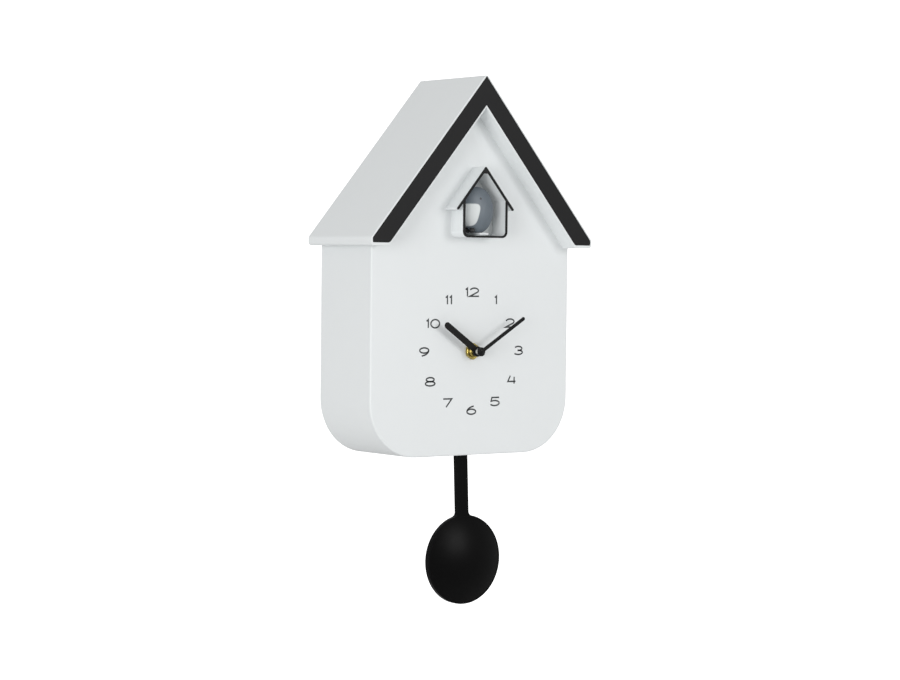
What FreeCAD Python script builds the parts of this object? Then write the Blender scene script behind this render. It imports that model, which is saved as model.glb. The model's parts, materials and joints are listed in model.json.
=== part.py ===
import FreeCAD, Part
import math
import os

from FreeCAD import Vector

# A wall-hung cuckoo clock: white house-shaped case with a black chevron under the roof edge,
# a small bird house over a printed dial, and a black pendulum below.
#
# Everything is drawn with x across, y = 0 on the wall and negative towards the room, and z = 0
# just above the bottom edge of the case. At export the pieces move down by HOOK_Z, so that the origin
# is the centre of the wall-hook hole, on the wall.

# ---- case ----------------------------------------------------------------------------------------
DEPTH = 80.0              # wall to the front of the roof
ROOF_HALF = 99.1          # centre to the cut-off tip of an eave
ROOF_TOP_Z = 273.3        # ridge
ROOF_FOOT_Z = 149.4       # flat underside of the eaves
ROOF_SLOPE = 1.189        # rise over run of both roof faces
ROOF_BAND = 24.3          # height of the roof's front band, measured straight down at the ridge
ROOF_WALL = 2.2           # skin of the roof moulding
PANEL_RECESS = 14.8       # how far the dial panel stands behind the roof's front
BODY_HALF = 88.9          # centre to the outside of a side wall
BODY_LOW_Z = -0.9         # underside of the case
BODY_CORNER_R = 40.0      # round lower corners of the case
CASE_WALL = 2.5
CASE_EDGE_R = 1.2         # rounding of the case's front edge
COVER_T = 2.5             # rear cover
COVER_GAP = 0.3           # seam between the rear cover and the roof
COVER_INSET = 1.5         # the cover is this much smaller than the case all round
TRIM_INSET = 1.15         # white rim left around the black chevron
TRIM_FOOT_INSET = 2.2
TRIM_T = 2.4
TRIM_GAP = 0.1
HOOK_Z = 226.0            # centre of the keyhole's round entry
HOOK_R = 4.5
HOOK_SLOT_HALF = 2.1
HOOK_SLOT_RISE = 11.0
POST_R = 3.5              # screw posts of the case
POST_PLACES = [(HOOK_R + 9.5, HOOK_Z), (BODY_HALF - 8.9, 128.0),
               (BODY_HALF - 22.9, 17.0)]     # right-hand ones, mirrored
SCREW_R = 1.4
SCREW_HEAD_R = 2.8
SCREW_HEAD_T = 1.6
SCREW_LEN = 12.0
CROSS_REACH, CROSS_HALF, CROSS_DEPTH = 0.6, 0.25, 0.7      # recess in every screw head

# ---- bird house ----------------------------------------------------------------------------------
HOUSE_HALF = 18.3         # inside, centre to wall
HOUSE_FLOOR_Z = 157.5
HOUSE_CORNER_R = 3.0
HOUSE_WALL = 1.45
HOUSE_SLOPE = 1.189
HOUSE_RIDGE_Z = 206.9
HOUSE_EAVE_HALF = 25.6
HOUSE_ROOF_T = 1.6
HOUSE_FLAT_Z = 201.9      # the inside of the ridge is cut off level here
HOUSE_PROUD = 0.5         # the bird house stands this far in front of the roof
HOUSE_TRIM_T = 1.2
HOUSE_SPIGOT = 1.0        # the part of the wall that enters the panel
HOUSE_FIT = 0.1
HOUSE_BACK_T = 1.5
HOUSE_BACK_RIM = 3.0

# ---- dial, hands and their stack -----------------------------------------------------------------
DIAL_Z = 74.2
MINUTE_ANGLE = 58.3       # clockwise from twelve, degrees
HOUR_ANGLE = 300.0 + MINUTE_ANGLE / 12.0
HOUR_LENGTH = 35.6
HOUR_WIDTH = 4.9
MINUTE_LENGTH = 46.0
MINUTE_WIDTH = 2.7
HAND_T = 0.6
HOUR_STAND = 6.8          # back of the hour hand to the panel
MINUTE_STAND = 11.3
HOUR_HUB_R = 3.75
MINUTE_HUB_R = 3.25
HUB_T = 1.5
BUSH_R = 4.0
BUSH_STAND = 4.3          # bush end in front of the panel
NUT_ACROSS = 11.0
NUT_T = 2.4
TUBE_R = 2.4              # hour tube
ARBOR_R = 1.5             # minute arbor
RUN_FIT = 0.06            # radial clearance of a shaft that turns
CAP_R = 2.1
WASHER_T = 0.8

# ---- movement ------------------------------------------------------------------------------------
MOVE_HALF = 28.0
MOVE_DEPTH = 10.6
MOVE_WALL = 1.0
TRAIN_MODULE = 0.5        # cannon pinion and minute wheel
HOUR_MODULE = 0.48        # minute pinion and hour wheel
CENTRE_MODULE = 0.3
THIRD_MODULE = 0.25
ROTOR_MODULE = 0.2
CANNON_TEETH, MINUTE_TEETH = 12, 36
MINUTE_PINION_TEETH, HOUR_TEETH = 10, 40
CENTRE_TEETH, THIRD_PINION_TEETH = 60, 8
THIRD_TEETH, SECONDS_PINION_TEETH = 64, 8
SECONDS_TEETH, ROTOR_TEETH = 60, 8
SET_TEETH = 12
PIVOT_R = 0.5
PIVOT_FIT = 0.05
SET_ANGLE = -35.0         # direction from the minute wheel to the setting pinion
SET_SHAFT_R = 1.5
SET_KNOB_R = 7.0
SET_KNOB_SUNK = 1.0       # the knob ends this far inside the wall plane
KNOB_CUP_R = 9.0
KNOB_CUP_DEPTH = 6.0

# ---- pendulum ------------------------------------------------------------------------------------
PENDULUM_GAP = 0.5        # movement to the rod
PIVOT_Z = 80.0
ROD_HALF = 5.1
ROD_T = 4.0
ROD_TOP_Z = 58.0
BOB_Z = -78.7
BOB_R = 32.6
BOB_LIP = 2.0
BOB_DOME = 6.5
BOB_SHELL = 2.0
BOB_BACK_T = 1.5
BOB_WEIGHT_R, BOB_WEIGHT_T = 17.0, 3.6
BOB_FILLET_R = 3.5
SWING = 4.0               # degrees each way of hanging straight
SWUNG = 2.2               # degrees it is drawn to the right of hanging straight
HANGER_T = 1.6
HANGER_HALF = 5.0
PEG_R = 1.5
PEG_Z = 52.0
DRIVE_HALF = 22.0
DRIVE_BOTTOM_Z, DRIVE_TOP_Z = 58.5, 96.0
DRIVE_DEPTH = 8.0
MAGNET_R = 4.0
MAGNET_T = 1.4
MAGNET_Z = 67.0
SLOT_MARGIN = 4.0         # room around the swinging rod in the case's bottom

# ---- bird and its drive --------------------------------------------------------------------------
BIRD_BEHIND = 8.0         # front of the roof to the middle of the bird at rest
BIRD_X = -1.2
BIRD_HALF_X, BIRD_HALF_Y = 13.4, 6.3
PERCH_Z = 159.5           # top of the tongue that the bird stands on
BIRD_TOP_Z = 192.2
TONGUE_HALF = 4.0
TONGUE_T = 1.3
CARRIAGE_HALF = 5.0
CARRIAGE_T = 3.0
CARRIAGE_TAIL = 18.0      # pinion axis to the carriage's rear end
RAIL_GAP = 0.25
RAIL_T = 1.5
BIRD_TRAVEL = 14.0
RACK_MODULE = 0.6
RACK_TEETH = 12           # teeth of the pinion under the rack
RACK_HALF = 2.6
PINION_BEHIND = 18.3      # dial panel to the pinion's axis
WHEEL_TEETH, MOTOR_TEETH = 36, 10
WHEEL_MODULE = 0.5
MOTOR_R = 10.0
MOTOR_LENGTH = 25.0
MOTOR_ANGLE = -45.0       # direction from the pinion's axis to the motor's, in the y-z plane
GEAR_SHAFT_R = 1.2
MOTOR_SHAFT_R = 1.0

# ---- electrics on the rear cover -----------------------------------------------------------------
CELL_R, CELL_LENGTH, CELL_COUNT = 7.2, 50.0, 3
CELL_GAP = 0.6
BOX_MARGIN, BOX_BOTTOM_Z = 13.4, 28.0        # from the case's left side and bottom
BOX_WALL = 1.5
CELL_ROOM = 3.0           # box floor to the wall plane, beyond a cell's diameter
DOOR_T = 1.8
DOOR_GAP = 0.35
DOOR_PIN_R, DOOR_PIN_LENGTH, DOOR_PIN_PLAY = 0.6, 1.2, 0.3
SPEAKER_Z, SPEAKER_R = 50.0, 25.0
SPEAKER_SHARE = 0.16615   # spare room left of the loudspeaker, between the knob cup and the side wall
BOARD_MARGIN, BOARD_WIDTH, BOARD_Z0, BOARD_Z1 = 10.9, 66.0, 92.0, 120.0
BOARD_T = 1.6
BOARD_STAND = 5.5
VOLUME_OFFSET, DEMO_OFFSET, SWITCH_Z = 18.0, 46.0, 106.0     # from the board's left edge
VOLUME_TRAVEL = 4.0
DEMO_TRAVEL = 1.0
DEMO_R = 3.0

# ---- places that follow from the sizes above -----------------------------------------------------
FRONT_Y = -DEPTH
PANEL_Y = FRONT_Y + PANEL_RECESS
PANEL_BACK_Y = PANEL_Y + CASE_WALL
COVER_Y = -COVER_T
MOVE_Y = PANEL_BACK_Y + WASHER_T
MOVE_BACK_Y = MOVE_Y + MOVE_DEPTH
HOUSE_FRONT_Y = FRONT_Y - HOUSE_PROUD
PENDULUM_Y = MOVE_BACK_Y + PENDULUM_GAP + ROD_T / 2      # middle of the rod's thickness
BIRD_Y = FRONT_Y + BIRD_BEHIND
PINION_Y = PANEL_BACK_Y + PINION_BEHIND
CARRIAGE_BACK_Y = PINION_Y + CARRIAGE_TAIL
BOX_LEFT_X = BOX_MARGIN - BODY_HALF
BOARD_X1 = BODY_HALF - BOARD_MARGIN
BOARD_X0 = BOARD_X1 - BOARD_WIDTH
VOLUME_X, DEMO_X = BOARD_X0 + VOLUME_OFFSET, BOARD_X0 + DEMO_OFFSET
MID_Y = MOVE_Y + 3.4                       # front of the movement's middle plate
HANGER_Y = PENDULUM_Y + ROD_T / 2          # the hanger laps behind the rod
DRIVE_Y = HANGER_Y + HANGER_T + MAGNET_T + 0.6
CARRIAGE_Z = PERCH_Z - CARRIAGE_T


# ---- shape helpers -------------------------------------------------------------------------------
def block(x0, x1, y0, y1, z0, z1):
    """A box between two corners."""
    return Part.makeBox(x1 - x0, y1 - y0, z1 - z0, Vector(x0, y0, z0))


def disc(x, z, radius, y0, y1):
    """A cylinder along y."""
    return Part.makeCylinder(radius, y1 - y0, Vector(x, y0, z), Vector(0, 1, 0))


def across(y, z, radius, x0, x1):
    """A cylinder along x."""
    return Part.makeCylinder(radius, x1 - x0, Vector(x0, y, z), Vector(1, 0, 0))


def prism(points, y0, y1):
    """A polygon in the x-z plane carried from y0 to y1."""
    ring = [Vector(x, y0, z) for x, z in points]
    face = Part.Face(Part.makePolygon(ring + ring[:1]))
    return face.extrude(Vector(0, y1 - y0, 0))


def fuse(shapes):
    """One solid from several that meet."""
    return shapes[0].multiFuse(shapes[1:]).removeSplitter() if len(shapes) > 1 else shapes[0]


def cut(shape, tools):
    return shape.cut(fuse(tools)) if tools else shape


def group(shapes):
    return Part.makeCompound(shapes)


def mirrored(points):
    """The right-hand places and their left-hand twins."""
    return [(side * x, z) for x, z in points for side in (1, -1)]


def chevron(inset, foot_inset=None):
    """Outline of the roof's front band, moved inwards by an even distance."""
    foot = ROOF_FOOT_Z + (inset if foot_inset is None else foot_inset)
    lean = math.hypot(1.0, ROOF_SLOPE)
    top = ROOF_TOP_Z - inset * lean
    inner = ROOF_TOP_Z - ROOF_BAND + inset * lean
    half = ROOF_HALF - inset
    foot_x = (inner - foot) / ROOF_SLOPE
    right = [(half, top - ROOF_SLOPE * half), (half, foot), (foot_x, foot)]
    left = [(-x, z) for x, z in reversed(right)]
    return [(0, top)] + right + [(0, inner)] + left


def gable(inset, foot_z):
    """The space under both roof skins, open at the foot."""
    top = ROOF_TOP_Z - inset * math.hypot(1.0, ROOF_SLOPE)
    half = ROOF_HALF - inset
    edge = top - ROOF_SLOPE * half
    return [(0, top), (half, edge), (half, foot_z), (-half, foot_z), (-half, edge)]


def body_wire(inset, top_z, y):
    """The case's U-shaped outline with round lower corners."""
    half, low, radius = BODY_HALF - inset, BODY_LOW_Z + inset, BODY_CORNER_R - inset
    turn = radius * (1 - math.sqrt(0.5))
    corners = [
        Part.makeLine(Vector(-half, y, top_z), Vector(-half, y, low + radius)),
        Part.Arc(Vector(-half, y, low + radius), Vector(-half + turn, y, low + turn),
                 Vector(-half + radius, y, low)).toShape(),
        Part.makeLine(Vector(-half + radius, y, low), Vector(half - radius, y, low)),
        Part.Arc(Vector(half - radius, y, low), Vector(half - turn, y, low + turn),
                 Vector(half, y, low + radius)).toShape(),
        Part.makeLine(Vector(half, y, low + radius), Vector(half, y, top_z)),
        Part.makeLine(Vector(half, y, top_z), Vector(-half, y, top_z)),
    ]
    return Part.Wire(corners)


def body_prism(inset, top_z, y0, y1):
    return Part.Face(body_wire(inset, top_z, y0)).extrude(Vector(0, y1 - y0, 0))


def house_prism(offset, y0, y1):
    """The bird house's inside, grown outwards by an offset."""
    half, low = HOUSE_HALF + offset, HOUSE_FLOOR_Z - offset
    radius = HOUSE_CORNER_R + offset
    lean = math.hypot(1.0, HOUSE_SLOPE)
    ridge = HOUSE_RIDGE_Z + (offset - HOUSE_ROOF_T) * lean
    flat = HOUSE_FLAT_Z + offset
    flat_x = (ridge - flat) / HOUSE_SLOPE
    side = [(half, ridge - HOUSE_SLOPE * half), (flat_x, flat)]
    top = side + [(-x, z) for x, z in reversed(side)]
    shape = prism([(half, low)] + top + [(-half, low)], y0, y1)
    edges = [e for e in shape.Edges if e.BoundBox.ZMax < low + 0.01 and e.BoundBox.YLength > 0.1]
    return shape.makeFillet(radius, [e for e in edges if e.BoundBox.XLength < 0.01])


def house_roof(y0, y1):
    """The two thin roof slabs that overhang the bird house's walls."""
    lean = math.hypot(1.0, HOUSE_SLOPE)
    under = HOUSE_RIDGE_Z - HOUSE_ROOF_T * lean
    eave = (HOUSE_EAVE_HALF, HOUSE_RIDGE_Z - HOUSE_SLOPE * HOUSE_EAVE_HALF)
    low = (eave[0] - HOUSE_ROOF_T * HOUSE_SLOPE / lean, eave[1] - HOUSE_ROOF_T / lean)
    right = [eave, low]
    left = [(-x, z) for x, z in reversed(right)]
    return prism([(0, HOUSE_RIDGE_Z)] + right + [(0, under)] + left, y0, y1)


def house_section(y0, y1):
    """Walls and roof slabs of the bird house, hollow inside."""
    outside = fuse([house_prism(HOUSE_WALL, y0, y1), house_roof(y0, y1)])
    return outside.cut(house_prism(0.0, y0 - 1, y1 + 1))


def gear_outline(teeth, module, tooth_angle):
    """Points of a spur gear with straight-sided teeth; one tooth is centred on tooth_angle."""
    pitch_r = teeth * module / 2
    tip_r, root_r = pitch_r + 0.8 * module, pitch_r - 1.15 * module
    step = 2 * math.pi / teeth
    points = []
    for n in range(teeth):
        middle = math.radians(tooth_angle) + n * step
        for radius, share in ((root_r, -0.27), (tip_r, -0.09), (tip_r, 0.09), (root_r, 0.27)):
            angle = middle + step * share
            points.append((radius * math.cos(angle), radius * math.sin(angle)))
    return points


def gear(teeth, module, x, z, y0, y1, tooth_angle):
    """A spur gear on an axis along y; angles run from +x towards +z."""
    ring = gear_outline(teeth, module, tooth_angle)
    return prism([(x + a, z + b) for a, b in ring], y0, y1)


def gear_across(teeth, module, y, z, x0, x1, tooth_angle):
    """A spur gear on an axis along x; angles run from +y towards +z."""
    ring = [Vector(x0, y + a, z + b) for a, b in gear_outline(teeth, module, tooth_angle)]
    face = Part.Face(Part.makePolygon(ring + ring[:1]))
    return face.extrude(Vector(x1 - x0, 0, 0))


def polar(centre, distance, angle):
    turn = math.radians(angle)
    return (centre[0] + distance * math.cos(turn), centre[1] + distance * math.sin(turn))


def meshing(teeth_a, teeth_b, module):
    """Centre distance of two gears."""
    return (teeth_a + teeth_b) * module / 2


def mesh_angle(mate_teeth, mate_tooth, teeth, line):
    """Tooth angle of a gear whose gaps meet its mate's teeth; line points from mate to gear."""
    lead = ((line - mate_tooth) % (360.0 / mate_teeth)) * mate_teeth / 360.0
    return line + 180.0 + (lead + 0.5) * 360.0 / teeth


# ---- gear centres in the movement, in x and z ----------------------------------------------------
AXIS = (0.0, DIAL_Z)
MINUTE_TURN, THIRD_TURN, SECONDS_TURN, ROTOR_TURN = -90.0, 135.0, 20.0, 30.0
MINUTE_AT = polar(AXIS, meshing(CANNON_TEETH, MINUTE_TEETH, TRAIN_MODULE), MINUTE_TURN)
SET_AT = polar(MINUTE_AT, meshing(MINUTE_TEETH, SET_TEETH, TRAIN_MODULE), SET_ANGLE)
THIRD_AT = polar(AXIS, meshing(CENTRE_TEETH, THIRD_PINION_TEETH, CENTRE_MODULE), THIRD_TURN)
SECONDS_AT = polar(THIRD_AT, meshing(THIRD_TEETH, SECONDS_PINION_TEETH, THIRD_MODULE), SECONDS_TURN)
ROTOR_AT = polar(SECONDS_AT, meshing(SECONDS_TEETH, ROTOR_TEETH, ROTOR_MODULE), ROTOR_TURN)
COIL_AT = (21.0, DIAL_Z - 14.0)
CUP_RIGHT_X = SET_AT[0] + KNOB_CUP_R + BOX_WALL
SPEAKER_ROOM = BODY_HALF - CASE_WALL - CUP_RIGHT_X - 2 * SPEAKER_R
SPEAKER_X = CUP_RIGHT_X + SPEAKER_R + SPEAKER_SHARE * SPEAKER_ROOM
COIL_R, COIL_LENGTH, CORE_HALF = 3.4, 23.0, 1.0
STATOR_Y = MID_Y + 1.7
STATOR_T = 0.8

# layers of the movement, counted from its front face
HOUR_LAYER = (MOVE_Y + 1.2, MOVE_Y + 2.0)
MINUTE_PINION_LAYER = (MOVE_Y + 1.1, MOVE_Y + 2.3)
MINUTE_LAYER = (MOVE_Y + 2.3, MOVE_Y + 3.1)
CANNON_LAYER = (MOVE_Y + 2.2, MOVE_Y + 3.2)
MID_T = 0.8
CENTRE_LAYER = (MID_Y + 1.0, MID_Y + 1.7)
THIRD_PINION_LAYER = (MID_Y + 0.9, MID_Y + 1.9)
THIRD_LAYER = (MID_Y + 1.9, MID_Y + 2.6)
SECONDS_PINION_LAYER = (MID_Y + 1.8, MID_Y + 2.9)
SECONDS_LAYER = (MID_Y + 2.9, MID_Y + 3.6)
MOVE_INSIDE_Y = MOVE_BACK_Y - MOVE_WALL

# angle of one tooth of each wheel; every pinion is then set into mesh with its wheel
MINUTE_TOOTH = MINUTE_TURN + 180.0
CENTRE_TOOTH, THIRD_TOOTH, SECONDS_TOOTH = THIRD_TURN, SECONDS_TURN, ROTOR_TURN

# bird drive, in y and z
RACK_PITCH_Z = CARRIAGE_Z - 1.15 * RACK_MODULE
PINION_AT = (PINION_Y, RACK_PITCH_Z - RACK_TEETH * RACK_MODULE / 2)
MOTOR_AT = polar(PINION_AT, meshing(WHEEL_TEETH, MOTOR_TEETH, WHEEL_MODULE), MOTOR_ANGLE)
CHEEK_X = CARRIAGE_HALF + RAIL_GAP          # inside face of a guide cheek
CHEEK_OUT_X = CHEEK_X + RAIL_T
WHEEL_X = CHEEK_OUT_X + 0.6
WHEEL_T = 1.6
GUIDE_FRONT_Y = PANEL_BACK_Y + HOUSE_BACK_T
GUIDE_BACK_Y = CARRIAGE_BACK_Y + 2.0
GUIDE_TOP_Z = PERCH_Z + RAIL_GAP + RAIL_T
GUIDE_BOTTOM_Z = MOTOR_AT[1] - MOTOR_R + 2.0
BOX_INSIDE_W = CELL_COUNT * (2 * CELL_R + CELL_GAP) + CELL_GAP
BOX_INSIDE_H = CELL_LENGTH + 4.0
BOX_RIGHT_X = BOX_LEFT_X + BOX_INSIDE_W
BOX_TOP_Z = BOX_BOTTOM_Z + BOX_INSIDE_H
BOX_FLOOR_Y = -(2 * CELL_R + CELL_ROOM)
DOOR_RIM = 2.0                              # ledge that the battery door rests on
DOOR_Y = -DOOR_T
DOOR_PIN_Y = DOOR_Y / 2                     # the lid turns on pins in its round lower edge
DOOR_PIN_Z = BOX_BOTTOM_Z - DOOR_RIM + DOOR_GAP + DOOR_T / 2
DOOR_PIN_ENDS = (BOX_LEFT_X - DOOR_RIM - DOOR_PIN_LENGTH, BOX_RIGHT_X + DOOR_RIM + DOOR_PIN_LENGTH)
BOARD_BACK_Y = COVER_Y - BOARD_STAND
BOARD_Y = BOARD_BACK_Y - BOARD_T
BOARD_POSTS = [(BOARD_X0 + 4, BOARD_Z0 + 4), (BOARD_X1 - 4, BOARD_Z0 + 4),
               (BOARD_X0 + 4, BOARD_Z1 - 4), (BOARD_X1 - 4, BOARD_Z1 - 4)]


# ---- case ----------------------------------------------------------------------------------------
def front_case():
    """Dial panel, side walls and bottom in one moulding, with its screw posts."""
    outer = body_prism(0.0, ROOF_FOOT_Z, PANEL_Y, COVER_Y)
    front_edges = [e for e in outer.Edges
                   if e.BoundBox.YMax < PANEL_Y + 0.01 and e.BoundBox.ZMin < ROOF_FOOT_Z - 0.01]
    outer = outer.makeFillet(CASE_EDGE_R, front_edges)
    inner = body_prism(CASE_WALL, ROOF_FOOT_Z + 1, PANEL_BACK_Y, COVER_Y + 1)
    upper = chevron(0.0)
    ridge, foot_x = upper[4][1], upper[3][0]
    upper_panel = prism([(0, ridge), (foot_x, ROOF_FOOT_Z), (-foot_x, ROOF_FOOT_Z)],
                        PANEL_Y, PANEL_BACK_Y)
    posts = [disc(x, z, POST_R, PANEL_BACK_Y, COVER_Y) for x, z in mirrored(POST_PLACES)]
    posts = [p.common(fuse([body_prism(CASE_WALL, ROOF_FOOT_Z, PANEL_BACK_Y, COVER_Y),
                            prism(gable(ROOF_WALL, ROOF_FOOT_Z), PANEL_BACK_Y, COVER_Y)]))
             for p in posts]
    shape = fuse([outer.cut(inner), upper_panel] + posts)
    holes = [disc(x, z, SCREW_R, COVER_Y - SCREW_LEN, COVER_Y + 1) for x, z in mirrored(POST_PLACES)]
    holes.append(disc(0, DIAL_Z, BUSH_R + HOUSE_FIT, PANEL_Y - 1, PANEL_BACK_Y + 1))
    holes.append(house_prism(HOUSE_SPIGOT + HOUSE_FIT, PANEL_Y - 1, PANEL_BACK_Y + 1))
    reach = ROD_HALF + PIVOT_Z * math.tan(math.radians(SWING)) + SLOT_MARGIN
    slot_y = ROD_T / 2 + SLOT_MARGIN - 1
    holes.append(block(-reach, reach, PENDULUM_Y - slot_y, PENDULUM_Y + slot_y,
                       BODY_LOW_Z - 1, BODY_LOW_Z + CASE_WALL + 1))
    return cut(shape, holes)


def roof_shell():
    """The roof moulding: two skins at the front band, one skin behind the dial panel."""
    outer = prism(chevron(0.0), FRONT_Y, 0.0)
    band = prism(chevron(ROOF_WALL), FRONT_Y - 1, PANEL_BACK_Y)
    space = prism(gable(ROOF_WALL, ROOF_FOOT_Z + ROOF_WALL), PANEL_BACK_Y, 1.0)
    rebate = prism(chevron(TRIM_INSET, TRIM_FOOT_INSET), FRONT_Y - 1, FRONT_Y + TRIM_T)
    return cut(outer, [band, space, rebate])


def roof_trim():
    """Black chevron that closes the front of the roof band."""
    return prism(chevron(TRIM_INSET + TRIM_GAP, TRIM_FOOT_INSET + TRIM_GAP), FRONT_Y, FRONT_Y + TRIM_T)


def bird_house():
    """Hollow porch with its spigot in the dial panel."""
    spigot = house_prism(HOUSE_SPIGOT, PANEL_Y, PANEL_BACK_Y).cut(
        house_prism(0.0, PANEL_Y - 1, PANEL_BACK_Y + 1))
    return fuse([house_section(HOUSE_FRONT_Y + HOUSE_TRIM_T, PANEL_Y), spigot])


def bird_house_trim():
    return house_section(HOUSE_FRONT_Y, HOUSE_FRONT_Y + HOUSE_TRIM_T)


def bird_house_back():
    """Back wall of the bird house, with the slot that the bird's tongue slides through."""
    plate = house_prism(HOUSE_SPIGOT + HOUSE_BACK_RIM, PANEL_BACK_Y, GUIDE_FRONT_Y)
    plug = house_prism(-HOUSE_FIT, PANEL_BACK_Y - 1.2, PANEL_BACK_Y)
    slot = block(-TONGUE_HALF - RAIL_GAP, TONGUE_HALF + RAIL_GAP, PANEL_Y, GUIDE_FRONT_Y + 1,
                 PERCH_Z - TONGUE_T - RAIL_GAP, PERCH_Z + RAIL_GAP)
    return cut(fuse([plate, plug]), [slot])


def grille_slots():
    """Level sound slots over the loudspeaker."""
    slots = []
    for row in range(-4, 5):
        z = SPEAKER_Z + row * 4.5
        half = math.sqrt((SPEAKER_R - 4) ** 2 - (row * 4.5) ** 2)
        slots.append(block(SPEAKER_X - half, SPEAKER_X + half, COVER_Y - 1, 1, z - 0.9, z + 0.9))
    return slots


def rear_cover():
    """Back plate with the battery box, knob cup, keyhole, board posts and sound slots."""
    lower = body_prism(COVER_INSET, ROOF_FOOT_Z - COVER_GAP, COVER_Y, 0.0)
    upper = prism(gable(ROOF_WALL + COVER_GAP, ROOF_FOOT_Z + ROOF_WALL + COVER_GAP), COVER_Y, 0.0)
    neck_x = chevron(0.0, ROOF_WALL)[3][0] - COVER_GAP
    neck = block(-neck_x, neck_x, COVER_Y, 0.0, ROOF_FOOT_Z - 5, ROOF_FOOT_Z + ROOF_WALL + 5)
    box = block(BOX_LEFT_X - BOX_WALL, BOX_RIGHT_X + BOX_WALL, BOX_FLOOR_Y - BOX_WALL, COVER_Y,
                BOX_BOTTOM_Z - BOX_WALL, BOX_TOP_Z + BOX_WALL)
    cup = disc(*SET_AT, KNOB_CUP_R + BOX_WALL, COVER_Y - KNOB_CUP_DEPTH, COVER_Y)
    posts = [disc(x, z, 2.5, BOARD_BACK_Y, COVER_Y) for x, z in BOARD_POSTS]
    shape = fuse([lower, upper, neck, box, cup] + posts)
    holes = [block(BOX_LEFT_X, BOX_RIGHT_X, BOX_FLOOR_Y, 1, BOX_BOTTOM_Z, BOX_TOP_Z),
             block(BOX_LEFT_X - DOOR_RIM, BOX_RIGHT_X + DOOR_RIM, DOOR_Y, 1,
                   BOX_BOTTOM_Z - DOOR_RIM, BOX_TOP_Z + DOOR_RIM),
             across(DOOR_PIN_Y, DOOR_PIN_Z, DOOR_PIN_R + RUN_FIT, *DOOR_PIN_ENDS),
             disc(*SET_AT, KNOB_CUP_R, COVER_Y - KNOB_CUP_DEPTH + BOX_WALL, 1),
             disc(*SET_AT, SET_SHAFT_R + RUN_FIT, COVER_Y - KNOB_CUP_DEPTH - 1, 1),
             disc(0, HOOK_Z, HOOK_R, COVER_Y - 1, 1),
             block(-HOOK_SLOT_HALF, HOOK_SLOT_HALF, COVER_Y - 1, 1, HOOK_Z, HOOK_Z + HOOK_SLOT_RISE),
             disc(0, HOOK_Z + HOOK_SLOT_RISE, HOOK_SLOT_HALF, COVER_Y - 1, 1),
             block(VOLUME_X - 2.5, VOLUME_X + VOLUME_TRAVEL + 2.5, COVER_Y - 1, 1,
                   SWITCH_Z - 1.6, SWITCH_Z + 1.6),
             disc(DEMO_X, SWITCH_Z, DEMO_R + 0.3, COVER_Y - 1, 1)]
    holes += [disc(x, z, SCREW_R + 0.2, COVER_Y - 1, 1) for x, z in mirrored(POST_PLACES)]
    holes += [disc(x, z, SCREW_HEAD_R + 0.2, -SCREW_HEAD_T, 1) for x, z in mirrored(POST_PLACES)]
    holes += [disc(x, z, 1.0, BOARD_BACK_Y - 1, BOARD_BACK_Y + 5) for x, z in BOARD_POSTS]
    return cut(shape, holes + grille_slots())


def screw(x, z, seat_y, head_r, head_t, shank_r, length, way):
    """A cross-head screw whose head sits on seat_y; way is +1 when the head is on the wall side."""
    face_y = seat_y + way * head_t
    head = disc(x, z, head_r, *sorted((seat_y, face_y)))
    shank = disc(x, z, shank_r, *sorted((seat_y, seat_y - way * length)))
    arm = head_r * CROSS_REACH
    cross_y = sorted((face_y - way * CROSS_DEPTH, face_y + way))
    bars = [block(x - a, x + a, *cross_y, z - b, z + b)
            for a, b in ((arm, CROSS_HALF), (CROSS_HALF, arm))]
    return cut(fuse([head, shank]), bars)


def case_screws():
    return group([screw(x, z, -SCREW_HEAD_T, SCREW_HEAD_R, SCREW_HEAD_T - 0.2, SCREW_R,
                        SCREW_LEN - 2, 1) for x, z in mirrored(POST_PLACES)])


# ---- battery box contents ------------------------------------------------------------------------
def cell_x(number):
    return BOX_LEFT_X + CELL_GAP + CELL_R + number * (2 * CELL_R + CELL_GAP)


CELL_Y = BOX_FLOOR_Y + CELL_R + 0.3
CELL_Z0 = BOX_BOTTOM_Z + 2.0


def battery_cells():
    """Cylindrical cells side by side, every other one turned end for end."""
    cells = []
    for n in range(CELL_COUNT):
        tube = Part.makeCylinder(CELL_R, CELL_LENGTH - 1.0, Vector(cell_x(n), CELL_Y, CELL_Z0 + n % 2))
        nub_z = CELL_Z0 if n % 2 else CELL_Z0 + CELL_LENGTH - 1.0
        nub = Part.makeCylinder(2.7, 1.0, Vector(cell_x(n), CELL_Y, nub_z))
        cells.append(fuse([tube, nub]))
    return group(cells)


def battery_contacts():
    """Bent strip contacts at both ends of every cell."""
    strips = []
    for n in range(CELL_COUNT):
        for end_z, way in ((BOX_BOTTOM_Z, 1), (BOX_TOP_Z, -1)):
            low, high = sorted((end_z, end_z + way * 0.4))
            tip_low, tip_high = sorted((end_z + way * 0.4, CELL_Z0 if way > 0 else CELL_Z0 + CELL_LENGTH))
            plate = block(cell_x(n) - 5, cell_x(n) + 5, BOX_FLOOR_Y, BOX_FLOOR_Y + 12, low, high)
            tongue = block(cell_x(n) - 2, cell_x(n) + 2, CELL_Y - 2, CELL_Y + 2, tip_low, tip_high)
            strips.append(fuse([plate, tongue]))
    return group(strips)


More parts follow.
